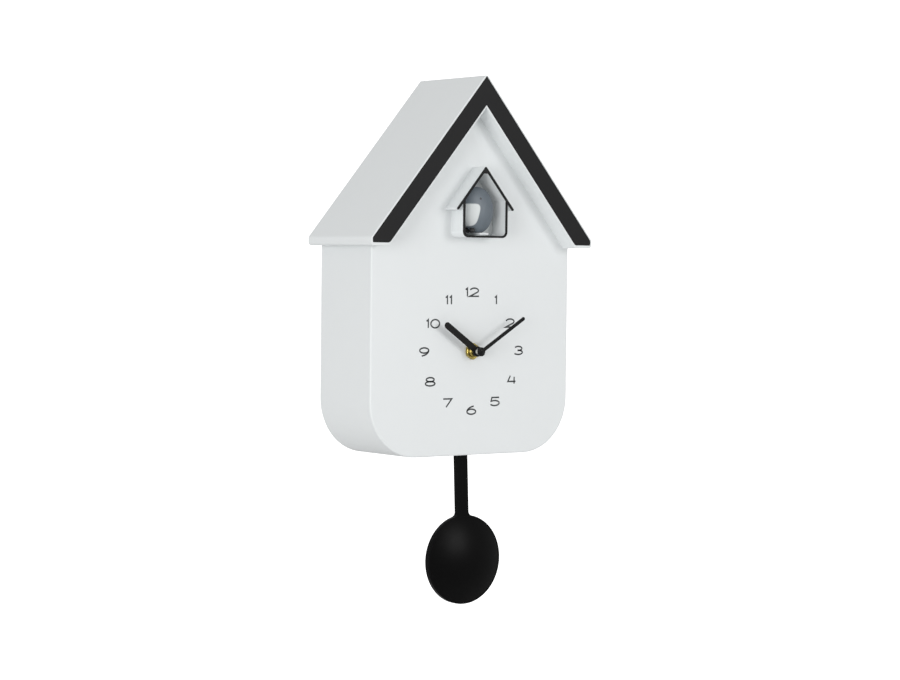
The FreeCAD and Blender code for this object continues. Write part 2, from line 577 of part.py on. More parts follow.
def battery_door():
    """Lid of the battery box; it turns on two pins at its round lower edge and snaps shut above."""
    grow = DOOR_RIM - DOOR_GAP
    sides = (BOX_LEFT_X - grow, BOX_RIGHT_X + grow)
    plate = block(*sides, DOOR_Y, 0.0, DOOR_PIN_Z, BOX_TOP_Z + grow)
    edge = across(DOOR_PIN_Y, DOOR_PIN_Z, DOOR_T / 2, *sides)
    pins = across(DOOR_PIN_Y, DOOR_PIN_Z, DOOR_PIN_R, DOOR_PIN_ENDS[0] + DOOR_PIN_PLAY,
                  DOOR_PIN_ENDS[1] - DOOR_PIN_PLAY)
    middle = (BOX_LEFT_X + BOX_RIGHT_X) / 2
    thumb = disc(middle, BOX_TOP_Z - 6, 4.0, -0.8, 1.0)
    catch = block(middle - 5, middle + 5, DOOR_Y - 3.0, DOOR_Y, BOX_TOP_Z - 1.6, BOX_TOP_Z - 0.7)
    return fuse([plate.cut(thumb), edge, pins, catch])


# ---- hands and their stack -----------------------------------------------------------------------
def turned(shape, angle):
    """Turn a shape drawn pointing up to a clockwise angle about the dial's axis."""
    shape.rotate(Vector(0, 0, DIAL_Z), Vector(0, 1, 0), angle)
    return shape


def hand(length, width, stand, hub_r, bore_r, angle):
    """A flat round-ended hand with its hub, standing in front of the dial panel."""
    back = PANEL_Y - stand
    blade = block(-width / 2, width / 2, back - HAND_T, back, DIAL_Z, DIAL_Z + length - width / 2)
    tip = disc(0, DIAL_Z + length - width / 2, width / 2, back - HAND_T, back)
    hub = disc(0, DIAL_Z, hub_r, back - HAND_T - 0.3, back - HAND_T - 0.3 + HUB_T)
    bore = disc(0, DIAL_Z, bore_r, back - HAND_T - 1, back + HUB_T)
    return turned(cut(fuse([blade, tip, hub]), [bore]), angle)


def hour_hand():
    return hand(HOUR_LENGTH, HOUR_WIDTH, HOUR_STAND, HOUR_HUB_R, TUBE_R, HOUR_ANGLE)


def minute_hand():
    return hand(MINUTE_LENGTH, MINUTE_WIDTH, MINUTE_STAND, MINUTE_HUB_R, ARBOR_R, MINUTE_ANGLE)


HAND_END_Y = PANEL_Y - MINUTE_STAND - HAND_T - 0.3


def hand_cap():
    return fuse([disc(0, DIAL_Z, CAP_R, HAND_END_Y - 0.6, HAND_END_Y),
                 disc(0, DIAL_Z, CAP_R * 0.55, HAND_END_Y - 1.7, HAND_END_Y - 0.6)])


def dial_bush():
    """Threaded bush, drawn plain, that the movement hangs from."""
    tube = disc(0, DIAL_Z, BUSH_R, PANEL_Y - BUSH_STAND, MOVE_Y)
    return tube.cut(disc(0, DIAL_Z, TUBE_R + RUN_FIT, PANEL_Y - BUSH_STAND - 1, MOVE_Y + 1))


def dial_nut():
    corner = NUT_ACROSS / math.sqrt(3)
    points = [polar(AXIS, corner, 30 + 60 * n) for n in range(6)]
    nut = prism(points, PANEL_Y - NUT_T, PANEL_Y)
    return nut.cut(disc(0, DIAL_Z, BUSH_R, PANEL_Y - NUT_T - 1, PANEL_Y + 1))


def rubber_washer():
    ring = disc(0, DIAL_Z, 11.0, PANEL_BACK_Y, MOVE_Y)
    return ring.cut(disc(0, DIAL_Z, BUSH_R, PANEL_BACK_Y - 1, MOVE_Y + 1))


# ---- movement ------------------------------------------------------------------------------------
def square(half, y0, y1):
    return block(-half, half, y0, y1, DIAL_Z - half, DIAL_Z + half)


def movement_front():
    """Front plate of the movement, with the bearings of the minute wheel and setting pinion."""
    plate = square(MOVE_HALF, MOVE_Y, MOVE_Y + MOVE_WALL)
    return cut(plate, [disc(0, DIAL_Z, TUBE_R + RUN_FIT, MOVE_Y - 1, MOVE_Y + 2),
                       disc(*MINUTE_AT, PIVOT_R + PIVOT_FIT, MOVE_Y - 1, MOVE_Y + 2),
                       disc(*SET_AT, PIVOT_R + PIVOT_FIT, MOVE_Y - 1, MOVE_Y + 2)])


def movement_plate():
    """Middle plate between the hand wheels and the going train."""
    half = MOVE_HALF - MOVE_WALL
    plate = block(-half, COIL_AT[0] - COIL_R - 0.6, MID_Y, MID_Y + MID_T, DIAL_Z - half, DIAL_Z + half)
    seats = [MINUTE_AT, THIRD_AT, SECONDS_AT, ROTOR_AT]
    holes = [disc(*seat, PIVOT_R + PIVOT_FIT, MID_Y - 1, MID_Y + 2) for seat in seats]
    holes.append(disc(*AXIS, 1.0 + PIVOT_FIT, MID_Y - 1, MID_Y + 2))
    holes.append(disc(*SET_AT, SET_SHAFT_R + RUN_FIT, MID_Y - 1, MID_Y + 2))
    return cut(plate, holes)


def movement_back():
    """Deep rear half of the movement's case."""
    shell = square(MOVE_HALF, MOVE_Y + MOVE_WALL, MOVE_BACK_Y).cut(
        square(MOVE_HALF - MOVE_WALL, MOVE_Y, MOVE_INSIDE_Y))
    holes = [disc(*seat, PIVOT_R + PIVOT_FIT, MOVE_INSIDE_Y - 1, MOVE_BACK_Y + 1)
             for seat in (THIRD_AT, SECONDS_AT, ROTOR_AT)]
    holes.append(disc(*AXIS, 0.8 + PIVOT_FIT, MOVE_INSIDE_Y - 1, MOVE_BACK_Y + 1))
    holes.append(disc(*SET_AT, SET_SHAFT_R + RUN_FIT, MOVE_INSIDE_Y - 1, MOVE_BACK_Y + 1))
    return cut(shell, holes)


def hour_wheel():
    """Hour wheel and the tube that carries the hour hand."""
    tooth = mesh_angle(MINUTE_PINION_TEETH, MINUTE_TOOTH, HOUR_TEETH, MINUTE_TURN + 180)
    wheel = gear(HOUR_TEETH, HOUR_MODULE, *AXIS, *HOUR_LAYER, tooth)
    tube = disc(0, DIAL_Z, TUBE_R, PANEL_Y - HOUR_STAND - HAND_T - 0.3, HOUR_LAYER[1])
    bore = disc(0, DIAL_Z, ARBOR_R + RUN_FIT, FRONT_Y, MID_Y)
    return fuse([wheel, tube]).cut(bore)


def centre_wheel():
    """Minute arbor with its cannon pinion and centre wheel."""
    tooth = mesh_angle(MINUTE_TEETH, MINUTE_TOOTH, CANNON_TEETH, MINUTE_TURN + 180)
    pinion = gear(CANNON_TEETH, TRAIN_MODULE, *AXIS, *CANNON_LAYER, tooth)
    wheel = gear(CENTRE_TEETH, CENTRE_MODULE, *AXIS, *CENTRE_LAYER, CENTRE_TOOTH)
    return fuse([disc(0, DIAL_Z, ARBOR_R, HAND_END_Y, CANNON_LAYER[1]), pinion,
                 disc(0, DIAL_Z, 1.0, CANNON_LAYER[1], MOVE_INSIDE_Y - 0.2), wheel,
                 disc(0, DIAL_Z, 0.8, MOVE_INSIDE_Y - 0.2, MOVE_BACK_Y)])


def minute_wheel():
    """Wheel and pinion that gear the minute arbor down to the hour wheel."""
    wheel = gear(MINUTE_TEETH, TRAIN_MODULE, *MINUTE_AT, *MINUTE_LAYER, MINUTE_TOOTH)
    pinion = gear(MINUTE_PINION_TEETH, HOUR_MODULE, *MINUTE_AT, *MINUTE_PINION_LAYER, MINUTE_TOOTH)
    pin = disc(*MINUTE_AT, PIVOT_R, MOVE_Y + 0.2, MID_Y + MID_T)
    return fuse([wheel, pinion, pin])


def third_wheel():
    wheel = gear(THIRD_TEETH, THIRD_MODULE, *THIRD_AT, *THIRD_LAYER, THIRD_TOOTH)
    tooth = mesh_angle(CENTRE_TEETH, CENTRE_TOOTH, THIRD_PINION_TEETH, THIRD_TURN)
    pinion = gear(THIRD_PINION_TEETH, CENTRE_MODULE, *THIRD_AT, *THIRD_PINION_LAYER, tooth)
    return fuse([wheel, pinion, disc(*THIRD_AT, PIVOT_R, MID_Y + 0.2, MOVE_BACK_Y - 0.2)])


def seconds_wheel():
    wheel = gear(SECONDS_TEETH, ROTOR_MODULE, *SECONDS_AT, *SECONDS_LAYER, SECONDS_TOOTH)
    tooth = mesh_angle(THIRD_TEETH, THIRD_TOOTH, SECONDS_PINION_TEETH, SECONDS_TURN)
    pinion = gear(SECONDS_PINION_TEETH, THIRD_MODULE, *SECONDS_AT, *SECONDS_PINION_LAYER, tooth)
    return fuse([wheel, pinion, disc(*SECONDS_AT, PIVOT_R, MID_Y + 0.2, MOVE_BACK_Y - 0.2)])


ROTOR_R = 2.2


def rotor():
    """Magnet rotor of the stepping motor with its pinion."""
    tooth = mesh_angle(SECONDS_TEETH, SECONDS_TOOTH, ROTOR_TEETH, ROTOR_TURN)
    pinion = gear(ROTOR_TEETH, ROTOR_MODULE, *ROTOR_AT, SECONDS_LAYER[0] - 0.1,
                  SECONDS_LAYER[1] + 0.1, tooth)
    magnet = disc(*ROTOR_AT, ROTOR_R, STATOR_Y - 0.5, SECONDS_LAYER[0] - 0.1)
    return fuse([magnet, pinion, disc(*ROTOR_AT, 0.4, MID_Y + 0.2, MOVE_BACK_Y - 0.2)])


def stator():
    """Flat iron yoke around the rotor, with the leg that passes through the coil."""
    yoke = block(ROTOR_AT[0] - ROTOR_R - 1.6, COIL_AT[0] + CORE_HALF + 1, STATOR_Y, STATOR_Y + STATOR_T,
                 ROTOR_AT[1] - ROTOR_R - 1.4, ROTOR_AT[1] + ROTOR_R + 1.4)
    leg = block(COIL_AT[0] - CORE_HALF, COIL_AT[0] + CORE_HALF, STATOR_Y, STATOR_Y + STATOR_T,
                COIL_AT[1] - 1.5, ROTOR_AT[1])
    return cut(fuse([yoke, leg]), [disc(*ROTOR_AT, ROTOR_R + 0.4, STATOR_Y - 1, STATOR_Y + 2)])


def movement_coil():
    """Bobbin of the stepping motor."""
    middle = STATOR_Y + STATOR_T / 2
    spool = Part.makeCylinder(COIL_R, COIL_LENGTH, Vector(COIL_AT[0], middle, COIL_AT[1]))
    neck = Part.makeCylinder(COIL_R, COIL_LENGTH - 2, Vector(COIL_AT[0], middle, COIL_AT[1] + 1)).cut(
        Part.makeCylinder(COIL_R - 0.6, COIL_LENGTH - 2, Vector(COIL_AT[0], middle, COIL_AT[1] + 1)))
    core = block(COIL_AT[0] - CORE_HALF, COIL_AT[0] + CORE_HALF, STATOR_Y, STATOR_Y + STATOR_T,
                 COIL_AT[1] - 1, COIL_AT[1] + COIL_LENGTH + 1)
    return cut(spool, [neck, core])


def movement_board():
    """Circuit board of the movement with its crystal and chip."""
    y0 = MOVE_INSIDE_Y - 1.2
    board = block(-26.0, -11.5, y0, y0 + 1.0, DIAL_Z - 26, DIAL_Z - 4)
    crystal = block(-24.0, -16.0, y0 - 2.0, y0, DIAL_Z - 23, DIAL_Z - 20.5)
    chip = block(-22.0, -16.0, y0 - 0.9, y0, DIAL_Z - 15, DIAL_Z - 9)
    return fuse([board, crystal, chip])


def set_shaft():
    """Setting pinion on the long shaft that reaches the rear cover."""
    tooth = mesh_angle(MINUTE_TEETH, MINUTE_TOOTH, SET_TEETH, SET_ANGLE)
    pinion = gear(SET_TEETH, TRAIN_MODULE, *SET_AT, *CANNON_LAYER, tooth)
    pin = disc(*SET_AT, PIVOT_R, MOVE_Y + 0.2, CANNON_LAYER[0])
    shaft = disc(*SET_AT, SET_SHAFT_R, CANNON_LAYER[1], KNOB_Y + 2.5)
    return fuse([pin, pinion, shaft])


KNOB_Y = COVER_Y - KNOB_CUP_DEPTH + BOX_WALL + 0.4


def set_knob():
    """Finger knob with grip flutes, sunk in its cup."""
    knob = disc(*SET_AT, SET_KNOB_R, KNOB_Y, -SET_KNOB_SUNK)
    flutes = [disc(*polar(SET_AT, SET_KNOB_R + 0.4, 20 * n), 0.9, KNOB_Y - 1, 1) for n in range(18)]
    return cut(knob, flutes + [disc(*SET_AT, SET_SHAFT_R, KNOB_Y - 1, KNOB_Y + 2.5)])


# ---- pendulum ------------------------------------------------------------------------------------
def swung(shape):
    """Turn a part of the pendulum from hanging straight to the pose it is drawn in."""
    shape.rotate(Vector(0, 0, PIVOT_Z), Vector(0, 1, 0), -SWUNG)
    return shape


def pendulum_drive():
    """Housing of the pendulum's coil, on four posts behind the movement."""
    case = block(-DRIVE_HALF, DRIVE_HALF, DRIVE_Y, DRIVE_Y + DRIVE_DEPTH, DRIVE_BOTTOM_Z, DRIVE_TOP_Z)
    space = block(-DRIVE_HALF + 1.2, DRIVE_HALF - 1.2, DRIVE_Y + 1.2, DRIVE_Y + DRIVE_DEPTH - 1.2,
                  DRIVE_BOTTOM_Z + 1.2, DRIVE_TOP_Z - 1.2)
    posts = [disc(x, z, 2.5, MOVE_BACK_Y, DRIVE_Y)
             for x, z in mirrored([(DRIVE_HALF - 4, DRIVE_TOP_Z - 4), (DRIVE_HALF - 4, DRIVE_BOTTOM_Z + 4)])]
    pin_hole = disc(0, PIVOT_Z, 1.0, DRIVE_Y - 1, DRIVE_Y + 1.2)
    return cut(fuse([case.cut(space)] + posts), [pin_hole])


def pendulum_pivot():
    """Headed pin that the pendulum hangs on."""
    return fuse([disc(0, PIVOT_Z, 1.0, HANGER_Y - 0.3, DRIVE_Y + 1.2),
                 disc(0, PIVOT_Z, 1.9, HANGER_Y - 1.1, HANGER_Y - 0.3)])


def pendulum_coil():
    ring = disc(0, MAGNET_Z, 6.0, DRIVE_Y + 1.2, DRIVE_Y + 4.6)
    return ring.cut(disc(0, MAGNET_Z, 2.0, DRIVE_Y, DRIVE_Y + 5))


def pendulum_hanger():
    """Rocking plate with the peg that the rod hooks on."""
    plate = fuse([block(-HANGER_HALF, HANGER_HALF, HANGER_Y, HANGER_Y + HANGER_T, PEG_Z - 5, PIVOT_Z),
                  disc(0, PIVOT_Z, HANGER_HALF, HANGER_Y, HANGER_Y + HANGER_T)])
    peg = disc(0, PEG_Z, PEG_R, HANGER_Y - ROD_T + 0.4, HANGER_Y)
    return swung(fuse([plate, peg]).cut(disc(0, PIVOT_Z, 1.0 + RUN_FIT, HANGER_Y - 1, HANGER_Y + 3)))


def pendulum_magnet():
    y0 = HANGER_Y + HANGER_T
    return swung(disc(0, MAGNET_Z, MAGNET_R, y0, y0 + MAGNET_T))


def dome(radius, height, front_y, back_y):
    """A spherical cap whose base stands at front_y, on a disc that reaches to back_y."""
    sphere_r = (radius ** 2 + height ** 2) / (2 * height)
    ball = Part.makeSphere(sphere_r, Vector(0, front_y - height + sphere_r, BOB_Z))
    cap = ball.common(block(-radius - 1, radius + 1, front_y - height - 1, front_y,
                            BOB_Z - radius - 1, BOB_Z + radius + 1))
    return fuse([cap, disc(0, BOB_Z, radius, front_y, back_y)])


def pendulum_arm():
    """Flat rod and the domed shell of the bob in one moulding."""
    y0, y1 = PENDULUM_Y - ROD_T / 2, PENDULUM_Y + ROD_T / 2
    rod = block(-ROD_HALF, ROD_HALF, y0, y1, BOB_Z + BOB_R * 0.7, ROD_TOP_Z)
    rim = disc(0, BOB_Z, BOB_R, y0, y1)
    join_z = BOB_Z + math.sqrt((BOB_R + BOB_FILLET_R) ** 2 - (ROD_HALF + BOB_FILLET_R) ** 2)
    web = block(-ROD_HALF - BOB_FILLET_R, ROD_HALF + BOB_FILLET_R, y0, y1, BOB_Z + BOB_R * 0.7, join_z)
    scoops = [disc(side * (ROD_HALF + BOB_FILLET_R), join_z, BOB_FILLET_R, y0 - 1, y1 + 1)
              for side in (1, -1)]
    flat = fuse([rod, rim, web.cut(fuse(scoops))])
    shell = fuse([flat, dome(BOB_R - BOB_LIP, BOB_DOME, y0, y0 + 0.5)])
    inside = dome(BOB_R - BOB_LIP - BOB_SHELL, BOB_DOME - BOB_SHELL, y0 + 0.2, y1 + 1)
    seat = disc(0, BOB_Z, BOB_R - BOB_LIP, y1 - BOB_BACK_T, y1 + 1)
    hook = disc(0, PEG_Z, PEG_R + HOUSE_FIT, y0 - 1, y1 + 1)
    return swung(cut(shell, [inside, seat, hook]))


def bob_weight():
    y1 = PENDULUM_Y + ROD_T / 2 - BOB_BACK_T
    return swung(disc(0, BOB_Z, BOB_WEIGHT_R, y1 - BOB_WEIGHT_T, y1))


def bob_back():
    y1 = PENDULUM_Y + ROD_T / 2
    return swung(disc(0, BOB_Z, BOB_R - BOB_LIP - HOUSE_FIT, y1 - BOB_BACK_T, y1))


# ---- bird and its drive --------------------------------------------------------------------------
def egg(x, y, z, half_x, half_y, half_z):
    """An ellipsoid."""
    ball = Part.makeSphere(1.0)
    grow = FreeCAD.Matrix()
    grow.scale(half_x, half_y, half_z)
    grow.move(Vector(x, y, z))
    return ball.transformGeometry(grow)


BIRD_HEAD_HALF = 9.0
BIRD_HEAD_X = BIRD_X - 2.8
BEAK_Z = BIRD_TOP_Z - BIRD_HEAD_HALF + 0.8
FOOT_X, FOOT_SPREAD, FOOT_HALF = -8.4, 3.25, 2.3
FOOT_T = 3.4


def under_perch():
    """Everything near the bird that lies below the top of the tongue."""
    return block(-2 * BIRD_HALF_X, 2 * BIRD_HALF_X, BIRD_Y - 2 * BIRD_HALF_X, BIRD_Y + 2 * BIRD_HALF_X,
                 PERCH_Z - BIRD_HALF_X, PERCH_Z)


def bird_body():
    """Plump egg of a body with the head in its upper left, flat where it sits on the perch."""
    half_z = (BIRD_TOP_Z - PERCH_Z + 0.3) / 2
    body = egg(BIRD_X, BIRD_Y, BIRD_TOP_Z - half_z, BIRD_HALF_X, BIRD_HALF_Y, half_z)
    head = egg(BIRD_HEAD_X, BIRD_Y, BIRD_TOP_Z - BIRD_HEAD_HALF - 0.3, BIRD_HEAD_HALF,
               BIRD_HALF_Y - 1.0, BIRD_HEAD_HALF)
    return fuse([body, head]).cut(under_perch())


def bird_beak():
    """Short cone in front of the head."""
    root_x = BIRD_HEAD_X - BIRD_HEAD_HALF + 0.6
    cone = Part.makeCone(1.6, 0.3, 3.4, Vector(root_x, BIRD_Y, BEAK_Z), Vector(-1, 0, 0))
    return cone.cut(bird_body())


def bird_feet():
    """Two stubby feet that stand out from under the breast."""
    feet = [egg(FOOT_X, BIRD_Y + side * FOOT_SPREAD, PERCH_Z + FOOT_T / 2,
                FOOT_HALF, FOOT_HALF - 0.4, FOOT_T / 2 + 0.3) for side in (-1, 1)]
    return group([foot.cut(fuse([bird_body(), under_perch()])) for foot in feet])


def bird_carriage():
    """Sliding bar with the rack behind and the thin tongue under the bird in front."""
    tongue = block(-TONGUE_HALF, TONGUE_HALF, BIRD_Y - BIRD_HALF_Y, GUIDE_FRONT_Y + BIRD_TRAVEL + 1.5,
                   PERCH_Z - TONGUE_T, PERCH_Z)
    bar_front = GUIDE_FRONT_Y + BIRD_TRAVEL + 0.5
    bar = block(-CARRIAGE_HALF, CARRIAGE_HALF, bar_front, CARRIAGE_BACK_Y, CARRIAGE_Z, PERCH_Z)
    pitch = math.pi * RACK_MODULE
    teeth = []
    for n in range(-1, int((CARRIAGE_BACK_Y - PINION_Y) / pitch)):
        y = PINION_Y + n * pitch
        low = RACK_PITCH_Z - 0.8 * RACK_MODULE
        ring = [Vector(-RACK_HALF, y + a * pitch, z) for a, z in
                ((-0.27, CARRIAGE_Z), (-0.11, low), (0.11, low), (0.27, CARRIAGE_Z))]
        teeth.append(Part.Face(Part.makePolygon(ring + ring[:1])).extrude(Vector(2 * RACK_HALF, 0, 0)))
    return fuse([tongue, bar] + teeth)


def bird_guide():
    """Channel that carries the carriage, the pinion's bearings and the motor."""
    cheeks = [block(x0, x0 + RAIL_T, GUIDE_FRONT_Y, GUIDE_BACK_Y, GUIDE_BOTTOM_Z, GUIDE_TOP_Z)
              for x0 in (-CHEEK_OUT_X, CHEEK_X)]
    roof = block(-CHEEK_OUT_X, CHEEK_OUT_X, GUIDE_FRONT_Y, GUIDE_BACK_Y,
                 PERCH_Z + RAIL_GAP, GUIDE_TOP_Z)
    ledges = [block(x0, x0 + 1.8, GUIDE_FRONT_Y, GUIDE_BACK_Y,
                    CARRIAGE_Z - RAIL_GAP - 1.2, CARRIAGE_Z - RAIL_GAP)
              for x0 in (-CHEEK_X, CHEEK_X - 1.8)]
    flange = block(-CHEEK_OUT_X - 7, CHEEK_OUT_X + 7, GUIDE_FRONT_Y, GUIDE_FRONT_Y + RAIL_T,
                   GUIDE_BOTTOM_Z, GUIDE_TOP_Z + 4)
    window = block(-CHEEK_X, CHEEK_X, GUIDE_FRONT_Y - 1, GUIDE_FRONT_Y + RAIL_T + 1,
                   CARRIAGE_Z - RAIL_GAP, PERCH_Z + RAIL_GAP)
    rack_way = block(-RACK_HALF - RAIL_GAP, RACK_HALF + RAIL_GAP, GUIDE_FRONT_Y - 1,
                     GUIDE_FRONT_Y + RAIL_T + 1, RACK_PITCH_Z - 2 * RACK_MODULE, PERCH_Z)
    shape = cut(fuse(cheeks + [roof] + ledges + [flange]), [window, rack_way])
    span = (-CHEEK_OUT_X - 1, CHEEK_OUT_X + 1)
    wheel_room = across(*PINION_AT, WHEEL_TEETH * WHEEL_MODULE / 2 + 1.2, CHEEK_OUT_X,
                        WHEEL_X + WHEEL_T + 1)
    return cut(shape, [across(*PINION_AT, GEAR_SHAFT_R + RUN_FIT, *span),
                       across(*MOTOR_AT, MOTOR_SHAFT_R + 0.4, *span), wheel_room])


def bird_pinion():
    """Pinion under the rack, on the shaft that its wheel is pressed on."""
    pinion = gear_across(RACK_TEETH, RACK_MODULE, *PINION_AT, -RACK_HALF, RACK_HALF,
                         90.0 + 180.0 / RACK_TEETH)
    shaft = across(*PINION_AT, GEAR_SHAFT_R, -CHEEK_OUT_X - 0.6, WHEEL_X + WHEEL_T)
    return fuse([pinion, shaft])


def bird_wheel():
    wheel = gear_across(WHEEL_TEETH, WHEEL_MODULE, *PINION_AT, WHEEL_X, WHEEL_X + WHEEL_T, MOTOR_ANGLE)
    return wheel.cut(across(*PINION_AT, GEAR_SHAFT_R, WHEEL_X - 1, WHEEL_X + WHEEL_T + 1))


def motor_pinion():
    """Pinion on the motor's shaft, which crosses under the carriage."""
    tooth = mesh_angle(WHEEL_TEETH, MOTOR_ANGLE, MOTOR_TEETH, MOTOR_ANGLE)
    pinion = gear_across(MOTOR_TEETH, WHEEL_MODULE, *MOTOR_AT, WHEEL_X - 0.2,
                         WHEEL_X + WHEEL_T + 0.2, tooth)
    shaft = across(*MOTOR_AT, MOTOR_SHAFT_R, -CHEEK_OUT_X - 5, WHEEL_X)
    return fuse([pinion, shaft])


def bird_motor():
    """Small direct-current motor with its two flat sides and rear boss."""
    x1 = -CHEEK_OUT_X
    can = across(*MOTOR_AT, MOTOR_R, x1 - MOTOR_LENGTH, x1).common(
        block(x1 - MOTOR_LENGTH, x1, MOTOR_AT[0] - MOTOR_R, MOTOR_AT[0] + MOTOR_R,
              MOTOR_AT[1] - MOTOR_R * 0.78, MOTOR_AT[1] + MOTOR_R * 0.78))
    boss = across(*MOTOR_AT, 3.0, x1 - MOTOR_LENGTH - 1.5, x1 - MOTOR_LENGTH)
    return fuse([can, boss]).cut(across(*MOTOR_AT, MOTOR_SHAFT_R + RUN_FIT, x1 - 6, x1 + 1))


# ---- loudspeaker, board and controls -------------------------------------------------------------
SPEAKER_DEPTH = 9.0


def ring_solid(profile):
    """Turn a closed profile of (radius, y) points about the loudspeaker's axis."""
    points = [Vector(SPEAKER_X + r, y, SPEAKER_Z) for r, y in profile]
    face = Part.Face(Part.makePolygon(points + points[:1]))
    return face.revolve(Vector(SPEAKER_X, 0, SPEAKER_Z), Vector(0, 1, 0), 360)


def speaker_frame():
    """Pressed basket of the loudspeaker, rim against the rear cover."""
    y1, y0 = COVER_Y, COVER_Y - SPEAKER_DEPTH
    return ring_solid([(SPEAKER_R, y1), (SPEAKER_R, y1 - 2.0), (SPEAKER_R - 4, y1 - 2.6), (15.0, y0),
                       (6.0, y0), (6.0, y0 + 1.0), (14.5, y0 + 1.0), (SPEAKER_R - 5, y1 - 1.4),
                       (SPEAKER_R - 3, y1)])


def speaker_cone():
    y1, y0 = COVER_Y - 1.0, COVER_Y - SPEAKER_DEPTH + 1.6
    return ring_solid([(SPEAKER_R - 4.8, y1), (SPEAKER_R - 5.6, y1), (7.0, y0 + 1.2), (0.0, y0 + 3.0),
                       (0.0, y0 + 2.4), (6.4, y0 + 0.6), (6.4, y0), (7.2, y0), (SPEAKER_R - 5.4, y1 - 0.6)])


def speaker_magnet():
    y1 = COVER_Y - SPEAKER_DEPTH
    return disc(SPEAKER_X, SPEAKER_Z, 13.0, y1 - 6.0, y1)


CHIP_HALF, CHIP_T = 5.0, 1.6
CAN_R, CAN_LENGTH = 4.0, 9.0


def main_board():
    """Circuit board for melody, bird motor and light sensing, on four posts."""
    board = block(BOARD_X0, BOARD_X1, BOARD_Y, BOARD_BACK_Y, BOARD_Z0, BOARD_Z1)
    chip_x, chip_z = BOARD_X0 + 33.0, (BOARD_Z0 + BOARD_Z1) / 2 - 1.0
    chip = block(chip_x - CHIP_HALF, chip_x + CHIP_HALF, BOARD_Y - CHIP_T, BOARD_Y,
                 chip_z - CHIP_HALF, chip_z + CHIP_HALF)
    can = disc(BOARD_X1 - 12.0, BOARD_Z1 - 8.0, CAN_R, BOARD_Y - CAN_LENGTH, BOARD_Y)
    holes = [disc(x, z, 1.2, BOARD_Y - 1, BOARD_BACK_Y + 1) for x, z in BOARD_POSTS]
    return cut(fuse([board, chip, can]), holes)


def board_screws():
    return group([screw(x, z, BOARD_Y, 2.0, 1.2, 1.0, BOARD_T + 4.5, -1) for x, z in BOARD_POSTS])


VOLUME_BODY_T = 2.6


def volume_switch_body():
    """Case of the volume slide switch, open towards the back for its slider."""
    case = block(VOLUME_X - 4, VOLUME_X + VOLUME_TRAVEL + 4, BOARD_BACK_Y, BOARD_BACK_Y + VOLUME_BODY_T,
                 SWITCH_Z - 2.5, SWITCH_Z + 2.5)
    slot = block(VOLUME_X - 2.3, VOLUME_X + VOLUME_TRAVEL + 2.3, BOARD_BACK_Y + 1.0,
                 BOARD_BACK_Y + VOLUME_BODY_T + 1, SWITCH_Z - 1.5, SWITCH_Z + 1.5)
    return case.cut(slot)


def volume_slider():
    """Finger piece of the volume switch, with three grip ribs."""
    knob = block(VOLUME_X - 2, VOLUME_X + 2, BOARD_BACK_Y + 1.2, -0.6, SWITCH_Z - 1.3, SWITCH_Z + 1.3)
    grooves = [block(VOLUME_X + a - 0.25, VOLUME_X + a + 0.25, -1.0, 0, SWITCH_Z - 2, SWITCH_Z + 2)
               for a in (-1, 0, 1)]
    return cut(knob, grooves)


def demo_switch():
    """Tact switch under the demonstration button."""
    return block(DEMO_X - 3, DEMO_X + 3, BOARD_BACK_Y, BOARD_BACK_Y + 2.4, SWITCH_Z - 3, SWITCH_Z + 3)


def demo_button():
    """Push button, with a flange that keeps it behind the cover."""
    y0 = BOARD_BACK_Y + 2.4 + DEMO_TRAVEL + 0.1
    return fuse([disc(DEMO_X, SWITCH_Z, DEMO_R + 1.0, y0, y0 + 0.8),
                 disc(DEMO_X, SWITCH_Z, DEMO_R, y0 + 0.8, -0.4)])


# ---- export --------------------------------------------------------------------------------------
PIECES = [
    front_case, roof_shell, roof_trim, bird_house, bird_house_trim, bird_house_back, rear_cover,
    case_screws, battery_cells, battery_contacts, battery_door, hour_hand, minute_hand, hand_cap,
    dial_bush, dial_nut, rubber_washer, movement_front, movement_plate, movement_back, hour_wheel,
    centre_wheel, minute_wheel, third_wheel, seconds_wheel, rotor, stator, movement_coil,
    movement_board, set_shaft, set_knob, pendulum_drive, pendulum_pivot, pendulum_coil,
    pendulum_hanger, pendulum_magnet, pendulum_arm, bob_weight, bob_back, bird_body, bird_beak,
    bird_feet, bird_carriage, bird_guide, bird_pinion, bird_wheel, motor_pinion, bird_motor,
    speaker_frame, speaker_cone, speaker_magnet, main_board, board_screws, volume_switch_body,
    volume_slider, demo_switch, demo_button,
]


def main():
    os.makedirs("parts", exist_ok=True)
    for make in PIECES:
        shape = make()
        shape.translate(Vector(0, 0, -HOOK_Z))
        shape.exportStep("parts/" + make.__name__ + ".step")
        print(f"{make.__name__:20s} solids {len(shape.Solids)} valid {shape.isValid()} "
              f"volume {shape.Volume:10.2f}")


main()
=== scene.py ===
"""Visual model of a wall-hung cuckoo clock: white house, black roof chevron, bird and pendulum."""
import json
import logging
import math
from dataclasses import dataclass, field
from enum import Enum

import bmesh
import bpy
import numpy as np
from mathutils import Matrix, Vector
from mathutils.geometry import tessellate_polygon


